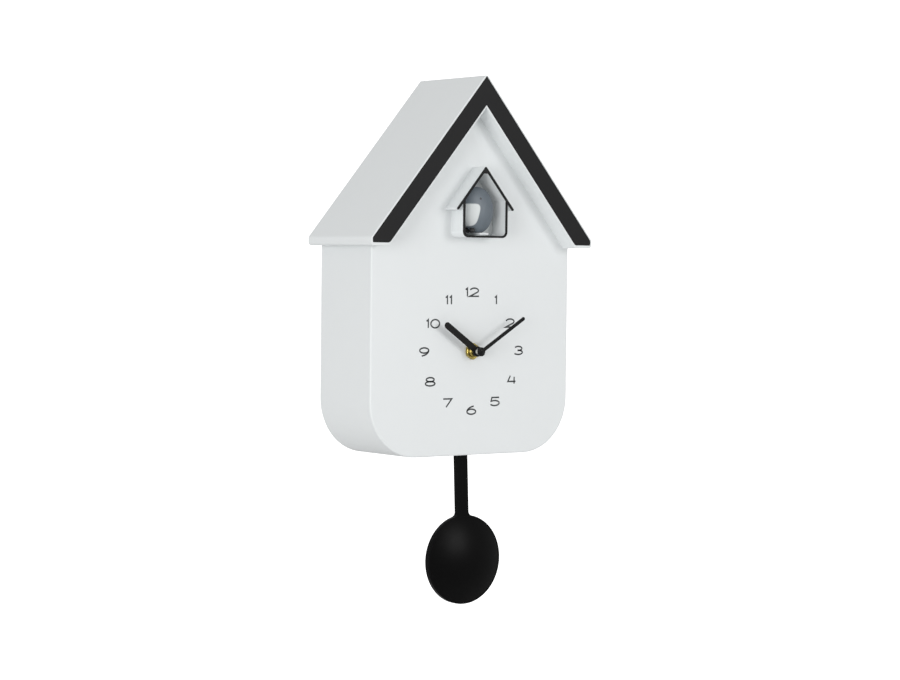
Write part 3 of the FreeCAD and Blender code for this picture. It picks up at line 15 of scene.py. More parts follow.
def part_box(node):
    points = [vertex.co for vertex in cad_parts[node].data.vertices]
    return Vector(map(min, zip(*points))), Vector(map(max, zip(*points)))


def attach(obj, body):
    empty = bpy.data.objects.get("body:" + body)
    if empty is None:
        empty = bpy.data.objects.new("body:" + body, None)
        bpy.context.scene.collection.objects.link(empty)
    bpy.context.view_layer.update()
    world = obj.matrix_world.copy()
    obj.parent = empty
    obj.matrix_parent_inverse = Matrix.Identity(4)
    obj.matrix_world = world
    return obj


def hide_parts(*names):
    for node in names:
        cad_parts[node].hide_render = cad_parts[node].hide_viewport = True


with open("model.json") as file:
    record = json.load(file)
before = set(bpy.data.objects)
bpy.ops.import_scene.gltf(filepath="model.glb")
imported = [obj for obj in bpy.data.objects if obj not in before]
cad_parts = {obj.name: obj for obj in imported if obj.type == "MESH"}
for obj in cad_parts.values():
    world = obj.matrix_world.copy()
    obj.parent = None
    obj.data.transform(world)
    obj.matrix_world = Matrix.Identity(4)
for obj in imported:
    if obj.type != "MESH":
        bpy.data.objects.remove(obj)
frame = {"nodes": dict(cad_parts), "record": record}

MM = 0.001
LOG = logging.getLogger("cuckoo_clock")
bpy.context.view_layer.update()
SHARP_ANGLE = 38.0       # degrees; edges that turn more stay sharp
COPY_SHARP_ANGLE = 32.0  # the same on copies of frame nodes
MERGE_DISTANCE = 2e-6    # metres; nearer corners become one
SLIVER_LENGTH = 1e-7     # metres; shorter edges are dissolved
NORMAL_WEIGHT = 60       # how much large faces lead the shading of small ones


class Body(Enum):
    """Rigid bodies of the frame that new pieces ride on."""

    CASE = "case"
    HOUR = "hour"
    MINUTE = "minute"
    PENDULUM = "pendulum"
    BIRD = "bird"
    SETTING = "setting"
    LID = "battery_lid"


class Way(Enum):
    """Direction of an edge rounding along y."""

    FRONT = 1.0
    BACK = -1.0


# ---------------------------------------------------------------------------- meshes
def box_mm(node: str) -> tuple[np.ndarray, np.ndarray]:
    """Lowest and highest corner of a frame node, in millimetres.

    Args:
        node: name of the frame node.

    Returns:
        Two arrays of x, y and z.
    """
    low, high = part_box(node)
    return np.array(low) / MM, np.array(high) / MM


def centre_mm(node: str) -> np.ndarray:
    """Middle of a frame node's box, in millimetres."""
    low, high = box_mm(node)
    return (low + high) / 2


def joint_mm(name: str) -> np.ndarray:
    """Place of a joint of the record, in millimetres."""
    joints = {joint["name"]: joint for joint in frame["record"]["behaviour"]["joints"]}
    return np.array(joints[name]["pos_m"]) / MM


@dataclass(frozen=True)
class Corner:
    """One corner of a flat outline, in millimetres, with its rounding radius."""

    x: float
    z: float
    radius: float = 0.0


@dataclass(frozen=True)
class Outline:
    """A closed outline of rounded corners, listed anticlockwise as seen from the front.

    Attributes:
        corners: the sharp corners with their radii.
        steps: number of straight pieces in each rounded corner.
    """

    corners: tuple[Corner, ...]
    steps: int = 8

    def points(self, inset: float = 0.0) -> np.ndarray:
        """Points of the outline moved inwards by an even distance.

        Each side moves along its inward normal n. A corner moves by
        inset * (n0 + n1) / (1 + n0.n1), its arc centre lies r further along the same line, and the
        arc's points are centre - r * n(s), where n(s) turns evenly from n0 to n1. An outward corner
        loses the inset from its radius, and an inward corner gains it.

        Args:
            inset: distance inwards in millimetres.

        Returns:
            An array of (corners * (steps + 1), 2) x and z values.
        """
        sharp = np.array([(c.x, c.z) for c in self.corners])
        radius = np.array([c.radius for c in self.corners])
        after = np.roll(sharp, -1, axis=0) - sharp
        after /= np.linalg.norm(after, axis=1, keepdims=True)
        before = np.roll(after, 1, axis=0)
        n1 = np.stack([-after[:, 1], after[:, 0]], axis=1)
        n0 = np.stack([-before[:, 1], before[:, 0]], axis=1)
        turn = np.arctan2(before[:, 0] * after[:, 1] - before[:, 1] * after[:, 0],
                          (before * after).sum(axis=1))
        sign = np.sign(turn)
        grown = np.where(radius > 0, np.maximum(radius - sign * inset, 0.0), 0.0)
        mitre = (n0 + n1) / (1.0 + (n0 * n1).sum(axis=1, keepdims=True))
        corner = sharp + inset * mitre
        centre = corner + (sign * grown)[:, None] * mitre
        share = np.linspace(0.0, 1.0, self.steps + 1)
        angle = np.arctan2(n0[:, 1], n0[:, 0])[:, None] + turn[:, None] * share
        arc = np.stack([np.cos(angle), np.sin(angle)], axis=2)
        points = centre[:, None, :] - (sign * grown)[:, None, None] * arc
        return points.reshape(-1, 2)


@dataclass(frozen=True)
class Ring:
    """One station of a carried outline: how far it is inset, and where it lies along y."""

    inset: float
    y: float


def rounded_edge(y: float, radius: float, way: Way, steps: int = 5) -> list[Ring]:
    """Stations of a quarter-round edge.

    The station at angle a has inset r(1 - sin a) and lies r(1 - cos a) behind the face.

    Args:
        y: place of the face in millimetres.
        radius: radius of the rounding.
        way: FRONT starts at the face, BACK ends at it.
        steps: number of straight pieces.

    Returns:
        The stations from front to back.
    """
    turn = np.linspace(0.0, math.pi / 2, steps + 1)
    rings = [Ring(radius * (1 - math.sin(a)), y + way.value * radius * (1 - math.cos(a))) for a in turn]
    return rings if way is Way.FRONT else rings[::-1]


def mirrored(corners: list[Corner]) -> list[Corner]:
    """The same corners on the other side of x = 0, in the same order."""
    return [Corner(-corner.x, corner.z, corner.radius) for corner in corners]


def carried(outline: Outline, rings: list[Ring]) -> np.ndarray:
    """An outline carried through its stations.

    Args:
        outline: the outline.
        rings: its stations.

    Returns:
        A grid of (stations, points, 3) in millimetres.
    """
    flat = np.stack([outline.points(ring.inset) for ring in rings])
    depth = np.array([ring.y for ring in rings])[:, None] * np.ones((1, flat.shape[1]))
    return np.stack([flat[:, :, 0], depth, flat[:, :, 1]], axis=2)


def grid_quads(rows: int, columns: int, first: int = 0) -> np.ndarray:
    """Corner numbers of the quads of a grid that closes on itself along its columns.

    Args:
        rows: number of rows.
        columns: number of columns.
        first: number of the grid's first corner.

    Returns:
        An array of ((rows - 1) * columns, 4) corner numbers.
    """
    row, column = np.meshgrid(np.arange(rows - 1), np.arange(columns), indexing="ij")
    following = (column + 1) % columns
    quads = np.stack([row * columns + column, row * columns + following,
                      (row + 1) * columns + following, (row + 1) * columns + column], axis=2)
    return quads.reshape(-1, 4) + first


@dataclass
class Sheaf:
    """Collects surfaces that together close one piece."""

    points: list[np.ndarray] = field(default_factory=list)
    faces: list[list[int]] = field(default_factory=list)
    count: int = 0

    def tube(self, grid: np.ndarray) -> np.ndarray:
        """Add a surface that is closed along its columns.

        Args:
            grid: array of (rows, columns, 3) in millimetres.

        Returns:
            The corner numbers of the grid, in the grid's shape.
        """
        rows, columns = grid.shape[:2]
        self.points.append(grid.reshape(-1, 3))
        self.faces += grid_quads(rows, columns, self.count).tolist()
        numbers = np.arange(self.count, self.count + rows * columns).reshape(rows, columns)
        self.count += rows * columns
        return numbers

    def cap(self, loops: list[np.ndarray]) -> None:
        """Fill one flat face.

        Args:
            loops: corner numbers of its border, then of each hole.
        """
        everything = np.concatenate(self.points)
        lines = [[Vector((*everything[i][[0, 2]], 0.0)) for i in loop] for loop in loops]
        numbers = np.concatenate(loops)
        for triangle in tessellate_polygon(lines):
            self.faces.append([int(numbers[i]) for i in triangle])

    def pole(self, loop: np.ndarray, tip: np.ndarray) -> None:
        """Close a loop with a fan that meets at one tip.

        Args:
            loop: corner numbers of the loop.
            tip: the point where the fan meets, in millimetres.
        """
        self.points.append(tip.reshape(1, 3))
        following = np.roll(loop, -1)
        self.faces += np.stack([loop, following, np.full(len(loop), self.count)], axis=1).tolist()
        self.count += 1

    def piece(self, name: str, sharp_angle: float = SHARP_ANGLE) -> bpy.types.Object:
        """Make the Blender object, with doubles merged and faces pointing outwards.

        Args:
            name: name of the piece.
            sharp_angle: edges that turn more than this, in degrees, stay sharp.

        Returns:
            The new object, at the origin, with its place in its mesh.
        """
        mesh = bpy.data.meshes.new(name)
        mesh.from_pydata((np.concatenate(self.points) * MM).tolist(), [], self.faces)
        return finished(name, mesh, sharp_angle)


def finished(name: str, mesh: bpy.types.Mesh, sharp_angle: float) -> bpy.types.Object:
    """Merge, turn outwards and smooth a mesh, and put it in the scene.

    Args:
        name: name of the object.
        mesh: the raw mesh, in metres.
        sharp_angle: edges that turn more than this, in degrees, stay sharp.

    Returns:
        The object.
    """
    work = bmesh.new()
    work.from_mesh(mesh)
    bmesh.ops.remove_doubles(work, verts=work.verts, dist=MERGE_DISTANCE)
    bmesh.ops.dissolve_degenerate(work, edges=work.edges, dist=SLIVER_LENGTH)
    bmesh.ops.recalc_face_normals(work, faces=work.faces)
    work.to_mesh(mesh)
    work.free()
    mesh.polygons.foreach_set("use_smooth", np.ones(len(mesh.polygons), dtype=bool))
    mesh.set_sharp_from_angle(angle=math.radians(sharp_angle))
    thing = bpy.data.objects.new(name, mesh)
    bpy.context.scene.collection.objects.link(thing)
    even = thing.modifiers.new("even_normals", "WEIGHTED_NORMAL")
    even.keep_sharp = True
    even.weight = NORMAL_WEIGHT
    return thing


def merged_copy(node: str) -> bpy.types.Object:
    """A smooth-shaded copy of a frame node, with its loose triangles merged.

    Args:
        node: name of the frame node.

    Returns:
        The copy, which replaces the node.
    """
    thing = finished(node + "_skin", frame["nodes"][node].data.copy(), COPY_SHARP_ANGLE)
    thing.data.materials.clear()
    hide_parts(node)
    return thing


def carried_piece(name: str, outline: Outline, rings: list[Ring],
                  holes: tuple[tuple[Outline, list[Ring]], ...] = ()) -> bpy.types.Object:
    """A closed piece from an outline carried through stations, with through holes.

    Args:
        name: name of the piece.
        outline: its outside.
        rings: stations of the outside, from front to back.
        holes: outline and stations of each hole; they start and end level with the outside.

    Returns:
        The piece.
    """
    sheaf = Sheaf()
    tubes = [sheaf.tube(carried(outline, rings))]
    tubes += [sheaf.tube(carried(hole, hole_rings)) for hole, hole_rings in holes]
    sheaf.cap([tube[0] for tube in tubes])
    sheaf.cap([tube[-1] for tube in tubes])
    return sheaf.piece(name)


def turned_piece(name: str, profile: np.ndarray, centre: np.ndarray,
                 columns: int = 64) -> bpy.types.Object:
    """A closed surface of revolution about a line along y.

    The profile's point (r, y) goes to (cx + r cos t, y, cz + r sin t).

    Args:
        name: name of the piece.
        profile: array of (radius, y) in millimetres; open ends must have radius 0, or be closed.
        centre: x and z of the axis.
        columns: number of steps round the axis.

    Returns:
        The piece.
    """
    sheaf = Sheaf()
    sheaf.tube(turned_grid(profile, centre, columns))
    return sheaf.piece(name)


def turned_grid(profile: np.ndarray, centre: np.ndarray, columns: int) -> np.ndarray:
    """A profile turned about a line along y.

    Args:
        profile: array of (radius, y) in millimetres.
        centre: x and z of the line.
        columns: number of steps round it.

    Returns:
        A grid of (profile points, columns, 3) in millimetres.
    """
    turn = np.linspace(0.0, 2 * math.pi, columns, endpoint=False)
    radius, depth = profile[:, 0:1], profile[:, 1:2]
    return np.stack([centre[0] + radius * np.cos(turn), depth + 0.0 * turn,
                     centre[1] + radius * np.sin(turn)], axis=2)


def directions(rows: int, columns: int) -> np.ndarray:
    """Unit vectors (sin p cos t, sin p sin t, cos p) of a ball without its two poles.

    Args:
        rows: number of steps of p from pole to pole, both poles counted.
        columns: number of steps of t round the z axis.

    Returns:
        A grid of (rows - 2, columns, 3).
    """
    polar = np.linspace(0.0, math.pi, rows)[1:-1]
    turn = np.linspace(0.0, 2 * math.pi, columns, endpoint=False)
    p, t = np.meshgrid(polar, turn, indexing="ij")
    return np.stack([np.sin(p) * np.cos(t), np.sin(p) * np.sin(t), np.cos(p)], axis=2)


# ---------------------------------------------------------------------------- finishes
class Group(Enum):
    """Node groups that several finishes share."""

    GRAIN = "moulded_grain"
    DRIFT = "colour_drift"
    HANDLING = "handled_gloss"


def new_group(kind: Group, sockets: dict[str, tuple[str, float]],
              results: dict[str, str]) -> tuple[bpy.types.NodeTree, bpy.types.Node, bpy.types.Node]:
    """Start a shader node group.

    Args:
        kind: which group.
        sockets: input name to its socket type and default.
        results: output name to its socket type.

    Returns:
        The tree, its input node and its output node.
    """
    tree = bpy.data.node_groups.new(kind.value, "ShaderNodeTree")
    for name, (sort, default) in sockets.items():
        socket = tree.interface.new_socket(name=name, in_out="INPUT", socket_type=sort)
        if sort == "NodeSocketFloat":
            socket.default_value = default
    for name, sort in results.items():
        tree.interface.new_socket(name=name, in_out="OUTPUT", socket_type=sort)
    return tree, tree.nodes.new("NodeGroupInput"), tree.nodes.new("NodeGroupOutput")


def feed(tree: bpy.types.NodeTree, node: bpy.types.Node, **values: object) -> bpy.types.Node:
    """Set or link a node's inputs.

    Args:
        tree: the node's tree.
        node: the node.
        values: input name, with _ for a space, to a number, a tuple or a socket.

    Returns:
        The same node.
    """
    for name, value in values.items():
        entry = node.inputs[name.replace("_", " ")]
        if isinstance(value, bpy.types.NodeSocket):
            tree.links.new(value, entry)
        else:
            entry.default_value = value
    return node


def colour_mix(tree: bpy.types.NodeTree, share: bpy.types.NodeSocket, first: object,
               second: object) -> bpy.types.NodeSocket:
    """Mix (1 - share) first + share second of two colours.

    Args:
        tree: node tree to add to.
        share: socket of the share.
        first: colour with alpha, or a socket.
        second: the same.

    Returns:
        The mixed colour's socket.
    """
    node = tree.nodes.new("ShaderNodeMix")
    node.data_type = "RGBA"
    return feed(tree, node, Factor=share, A=first, B=second).outputs["Result"]


def maths(tree: bpy.types.NodeTree, operation: str, *values: object) -> bpy.types.NodeSocket:
    """A math node; each value is a number or a socket.

    Args:
        tree: node tree to add to.
        operation: the math node's operation.
        values: its inputs in order.

    Returns:
        The node's output socket.
    """
    node = tree.nodes.new("ShaderNodeMath")
    node.operation = operation
    for slot, value in enumerate(values):
        if isinstance(value, bpy.types.NodeSocket):
            tree.links.new(value, node.inputs[slot])
        else:
            node.inputs[slot].default_value = value
    return node.outputs[0]


def grain_group() -> bpy.types.NodeTree:
    """Height of a spark-eroded mould surface: fine noise with a little coarser orange peel.

    Returns:
        The group.
    """
    tree, start, end = new_group(
        Group.GRAIN, {"Vector": ("NodeSocketVector", 0.0), "Fine Scale": ("NodeSocketFloat", 2600.0),
                      "Peel Scale": ("NodeSocketFloat", 160.0), "Peel Share": ("NodeSocketFloat", 0.4)},
        {"Height": "NodeSocketFloat"})
    given = start.outputs
    fine = feed(tree, tree.nodes.new("ShaderNodeTexNoise"), Detail=2.0, Roughness=0.6,
                Vector=given["Vector"], Scale=given["Fine Scale"])
    peel = feed(tree, tree.nodes.new("ShaderNodeTexNoise"), Detail=1.0, Roughness=0.4,
                Vector=given["Vector"], Scale=given["Peel Scale"])
    mix = feed(tree, tree.nodes.new("ShaderNodeMix"), Factor=given["Peel Share"],
               A=fine.outputs["Fac"], B=peel.outputs["Fac"])
    feed(tree, end, Height=mix.outputs["Result"])
    return tree


def drift_group() -> bpy.types.NodeTree:
    """Slow colour change over a moulding, between a colour and its shade.

    Returns:
        The group.
    """
    tree, start, end = new_group(
        Group.DRIFT, {"Vector": ("NodeSocketVector", 0.0), "Colour": ("NodeSocketColor", 0.0),
                      "Shade": ("NodeSocketColor", 0.0), "Scale": ("NodeSocketFloat", 14.0)},
        {"Colour": "NodeSocketColor"})
    given = start.outputs
    cloud = feed(tree, tree.nodes.new("ShaderNodeTexNoise"), Detail=3.0, Roughness=0.55,
                 Vector=given["Vector"], Scale=given["Scale"])
    feed(tree, end, Colour=colour_mix(tree, cloud.outputs["Fac"], given["Colour"], given["Shade"]))
    return tree


def handling_group() -> bpy.types.NodeTree:
    """Roughness that wanders where hands and cloths have polished the surface.

    Returns:
        The group.
    """
    tree, start, end = new_group(
        Group.HANDLING, {"Vector": ("NodeSocketVector", 0.0), "Roughness": ("NodeSocketFloat", 0.45),
                         "Spread": ("NodeSocketFloat", 0.08), "Scale": ("NodeSocketFloat", 32.0)},
        {"Roughness": "NodeSocketFloat"})
    given = start.outputs
    smear = feed(tree, tree.nodes.new("ShaderNodeTexNoise"), Detail=4.0, Roughness=0.6,
                 Distortion=0.6, Vector=given["Vector"], Scale=given["Scale"])
    centred = maths(tree, "SUBTRACT", smear.outputs["Fac"], 0.5)
    spread = maths(tree, "MULTIPLY", centred, given["Spread"])
    feed(tree, end, Roughness=maths(tree, "ADD", given["Roughness"], spread))
    return tree


GROUPS = {Group.GRAIN: grain_group(), Group.DRIFT: drift_group(), Group.HANDLING: handling_group()}


@dataclass(frozen=True)
class Finish:
    """A plain moulded, painted or metal finish.

    Attributes:
        name: material name.
        colour: base colour, linear.
        shade: the colour it drifts to.
        roughness: mean roughness.
        spread: how far the roughness wanders.
        grain: bump distance in millimetres.
        fine: scale of the fine grain, per metre.
        peel: share of orange peel in the grain.
        metallic: 0 for plastics, 1 for bare metal.
        drift: scale of the colour drift, per metre.
        coat: clear coat weight.
        specular: strength of the plain reflection, 0.5 for common plastic.
    """

    name: str
    colour: tuple[float, float, float]
    shade: tuple[float, float, float]
    roughness: float = 0.45
    spread: float = 0.08
    grain: float = 0.01
    fine: float = 2600.0
    peel: float = 0.4
    metallic: float = 0.0
    drift: float = 14.0
    coat: float = 0.0
    specular: float = 0.5

    def place(self, tree: bpy.types.NodeTree, kind: Group, vector: bpy.types.NodeSocket,
              **values: object) -> bpy.types.Node:
        """Put a shared group into the material with its own values.

        Args:
            tree: the material's node tree.
            kind: which group.
            vector: socket of the coordinates.
            values: input name, with _ for a space, to its value.

        Returns:
            The group's node.
        """
        node = tree.nodes.new("ShaderNodeGroup")
        node.node_tree = GROUPS[kind]
        return feed(tree, node, Vector=vector, **values)

    def colour_socket(self, tree: bpy.types.NodeTree,
                      vector: bpy.types.NodeSocket) -> bpy.types.NodeSocket:
        """Base colour of the surface; other finishes override it.

        Args:
            tree: node tree to add to.
            vector: socket of the place.

        Returns:
            Socket of the colour.
        """
        node = self.place(tree, Group.DRIFT, vector, Scale=self.drift, Colour=(*self.colour, 1.0),
                          Shade=(*self.shade, 1.0))
        return node.outputs["Colour"]

    def height_socket(self, tree: bpy.types.NodeTree,
                      vector: bpy.types.NodeSocket) -> bpy.types.NodeSocket:
        """Height for the bump; other finishes override it."""
        node = self.place(tree, Group.GRAIN, vector, Fine_Scale=self.fine, Peel_Share=self.peel)
        return node.outputs["Height"]

    def build(self) -> bpy.types.Material:
        """Make the material, or find it when it is there already.

        Returns:
            The material.
        """
        if self.name in bpy.data.materials:
            return bpy.data.materials[self.name]
        material = bpy.data.materials.new(self.name)
        material.use_nodes = True
        tree = material.node_tree
        place = tree.nodes.new("ShaderNodeTexCoord").outputs["Object"]
        gloss = self.place(tree, Group.HANDLING, place, Roughness=self.roughness, Spread=self.spread)
        bump = feed(tree, tree.nodes.new("ShaderNodeBump"), Strength=1.0, Distance=self.grain * MM,
                    Height=self.height_socket(tree, place))
        feed(tree, tree.nodes["Principled BSDF"], Base_Color=self.colour_socket(tree, place),
             Roughness=gloss.outputs["Roughness"], Metallic=self.metallic, Coat_Weight=self.coat,
             Specular_IOR_Level=self.specular, Normal=bump.outputs["Normal"])
        return material


WAVE_BANDS = 3.2         # bands in one unit of a wave texture's scale, nearly 10 / pi


@dataclass(frozen=True)
class BandedFinish(Finish):
    """A finish whose height or colour repeats in bands: windings, turned rings, brushed lines.

    Attributes:
        bands: bands per metre.
        rings: True for rings about the y axis through centre, False for straight bands.
        direction: axis of straight bands, X, Y or Z.
        centre: x and z of the rings, in millimetres.
        contrast: how much of the shade the bands bring in.
    """

    bands: float = 900.0
    rings: bool = False
    direction: str = "Z"
    centre: tuple[float, float] = (0.0, 0.0)
    contrast: float = 0.5

    def wave(self, tree: bpy.types.NodeTree, vector: bpy.types.NodeSocket) -> bpy.types.NodeSocket:
        """The band pattern, 0 to 1.

        Args:
            tree: the material's node tree.
            vector: socket of the coordinates.

        Returns:
            The pattern's socket.
        """
        middle = (-self.centre[0] * MM, 0.0, -self.centre[1] * MM)
        moved = feed(tree, tree.nodes.new("ShaderNodeMapping"), Vector=vector, Location=middle)
        node = tree.nodes.new("ShaderNodeTexWave")
        node.wave_type = "RINGS" if self.rings else "BANDS"
        if self.rings:
            node.rings_direction = "Y"
        else:
            node.bands_direction = self.direction
        feed(tree, node, Vector=moved.outputs["Vector"], Scale=self.bands / WAVE_BANDS,
             Distortion=0.4, Detail_Scale=3.0)
        return node.outputs["Fac"]

    def colour_socket(self, tree: bpy.types.NodeTree,
                      vector: bpy.types.NodeSocket) -> bpy.types.NodeSocket:
        """Colour mixed towards the shade along the bands."""
        share = maths(tree, "MULTIPLY", self.wave(tree, vector), self.contrast)
        return colour_mix(tree, share, (*self.colour, 1.0), (*self.shade, 1.0))

    def height_socket(self, tree: bpy.types.NodeTree,
                      vector: bpy.types.NodeSocket) -> bpy.types.NodeSocket:
        """The bands as height."""
        return self.wave(tree, vector)


@dataclass(frozen=True)
class BoardFinish(Finish):
    """Solder mask over copper tracks, from a brick pattern whose joints are the tracks.

    Attributes:
        track: width of a track, in metres.
        pad: length and height of a brick between the tracks, in metres.
    """

    track: float = 0.00035
    pad: tuple[float, float] = (0.006, 0.0022)

    def colour_socket(self, tree: bpy.types.NodeTree,
                      vector: bpy.types.NodeSocket) -> bpy.types.NodeSocket:
        """Green mask, lighter over the tracks.

        Args:
            tree: the material's node tree.
            vector: socket of the coordinates.

        Returns:
            The colour's socket.
        """
        turned = feed(tree, tree.nodes.new("ShaderNodeMapping"), Vector=vector,
                      Rotation=(math.pi / 2, 0.0, 0.0))
        mask = (*self.colour, 1.0)
        bricks = feed(tree, tree.nodes.new("ShaderNodeTexBrick"), Vector=turned.outputs["Vector"],
                      Scale=1.0, Brick_Width=self.pad[0], Row_Height=self.pad[1],
                      Mortar_Size=self.track, Color1=mask, Color2=mask, Mortar=(*self.shade, 1.0))
        return bricks.outputs["Color"]


@dataclass(frozen=True)
class BreastFinish(Finish):
    """Bird paint: grey all over, with a white breast whose edge is a soft leaning oval in x and z.

    Attributes:
        breast: colour of the breast.
        centre: x and z of the oval's middle, in millimetres.
        reach: its half sizes in x and z.
        lean: how far it shifts in x for each step up in z.
        soft: values of the mask between which the two paints blend.
    """

    breast: tuple[float, float, float] = (0.8, 0.8, 0.8)
    centre: tuple[float, float] = (0.0, 0.0)
    reach: tuple[float, float] = (8.0, 8.0)
    lean: float = 0.22
    soft: tuple[float, float] = (0.8, 1.25)

    def colour_socket(self, tree: bpy.types.NodeTree,
                      vector: bpy.types.NodeSocket) -> bpy.types.NodeSocket:
        """Mix of the two paints, where the mask is u^4 + v^4 against 1.

        Here v = (z - cz) / rz, and u = (x - cx - lean (z - cz)) / rx.

        Args:
            tree: the material's node tree.
            vector: socket of the coordinates.

        Returns:
            The colour's socket.
        """
        split = feed(tree, tree.nodes.new("ShaderNodeSeparateXYZ"), Vector=vector)
        up = maths(tree, "SUBTRACT", split.outputs["Z"], self.centre[1] * MM)
        aside = maths(tree, "SUBTRACT", split.outputs["X"], self.centre[0] * MM)
        aside = maths(tree, "SUBTRACT", aside, maths(tree, "MULTIPLY", up, self.lean))
        terms = []
        for away, reach in ((aside, self.reach[0]), (up, self.reach[1])):
            share = maths(tree, "ABSOLUTE", maths(tree, "DIVIDE", away, reach * MM))
            terms.append(maths(tree, "POWER", share, 4.0))
        edge = feed(tree, tree.nodes.new("ShaderNodeMapRange"), Value=maths(tree, "ADD", *terms),
                    From_Min=self.soft[0], From_Max=self.soft[1])
        edge.interpolation_type = "SMOOTHSTEP"
        return colour_mix(tree, edge.outputs["Result"], (*self.breast, 1.0),
                          super().colour_socket(tree, vector))


SPEAKER_AXIS = tuple(np.round(centre_mm("speaker_cone")[[0, 2]], 1).tolist())
WHITE_ABS = Finish("white_abs", (0.79, 0.815, 0.82), (0.77, 0.795, 0.80), 0.42, 0.06, 0.006)
BLACK_ABS = Finish("black_abs", (0.010, 0.010, 0.0105), (0.014, 0.014, 0.0145), 0.46, 0.08, 0.008,
                   specular=0.14)
BLACK_BOB = Finish("black_bob", (0.0012, 0.0012, 0.0012), (0.002, 0.002, 0.002), 0.34, 0.06, 0.006,
                   specular=0.07)
HAND_PAINT = Finish("hand_paint", (0.006, 0.006, 0.006), (0.010, 0.010, 0.010), 0.34, 0.08, 0.004,
                    specular=0.12)
INK = Finish("dial_ink", (0.030, 0.034, 0.036), (0.05, 0.054, 0.056), 0.6, 0.1, 0.004, drift=900.0)
DARK_CASE = Finish("dark_movement_case", (0.045, 0.045, 0.05), (0.06, 0.06, 0.065), 0.5, 0.1, 0.02)
ACETAL = Finish("natural_acetal", (0.78, 0.77, 0.70), (0.70, 0.69, 0.62), 0.38, 0.06, 0.004)
RUBBER = Finish("washer_rubber", (0.03, 0.03, 0.03), (0.05, 0.05, 0.05), 0.8, 0.1, 0.03)
FERRITE = Finish("ferrite", (0.08, 0.08, 0.085), (0.12, 0.12, 0.12), 0.55, 0.1, 0.03)
NICKEL = Finish("nickel_strip", (0.72, 0.70, 0.64), (0.6, 0.58, 0.54), 0.22, 0.1, 0.004, metallic=1.0)
ZINC = BandedFinish("zinc_steel", (0.62, 0.63, 0.65), (0.45, 0.46, 0.48), 0.32, 0.1, 0.004,
                    metallic=1.0, bands=2500.0, direction="X")
COPPER = BandedFinish("copper_winding", (0.62, 0.25, 0.10), (0.25, 0.08, 0.03), 0.35, 0.05, 0.06,
                      metallic=1.0, bands=5000.0, contrast=0.8)
SLEEVE = BandedFinish("cell_sleeve", (0.55, 0.42, 0.16), (0.03, 0.04, 0.07), 0.3, 0.05, 0.0,
                      bands=16.0, contrast=1.0, coat=0.5)
CONE_PAPER = BandedFinish("cone_paper", (0.03, 0.03, 0.03), (0.05, 0.05, 0.05), 0.85, 0.05, 0.1,
                          bands=700.0, rings=True, centre=SPEAKER_AXIS, contrast=0.6)
SOLDER_MASK = BoardFinish("solder_mask", (0.02, 0.16, 0.06), (0.06, 0.32, 0.14), 0.35, 0.05, 0.02)
BEAK_HORN = Finish("beak_horn", (0.010, 0.010, 0.011), (0.016, 0.016, 0.017), 0.35, 0.05, 0.01)
EYE_GLOSS = Finish("eye_gloss", (0.004, 0.004, 0.004), (0.01, 0.01, 0.01), 0.08, 0.02, 0.0, coat=1.0)


def dress(thing: bpy.types.Object, finish: Finish, slot: str, body: Body,
          *nodes: str) -> bpy.types.Object:
    """Give a new piece its finish and body, and hide the frame nodes that it stands for.

    Args:
        thing: the piece.
        finish: its finish.
        slot: the record's material slot; not used.
        body: the body that it rides on.
        nodes: frame nodes that it replaces.

    Returns:
        The same piece.
    """
    thing.data.materials.clear()
    thing.data.materials.append(finish.build())
    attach(thing, body.value)
    if nodes:
        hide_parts(*nodes)
    LOG.info("%s rides on %s", thing.name, body.value)
    return thing


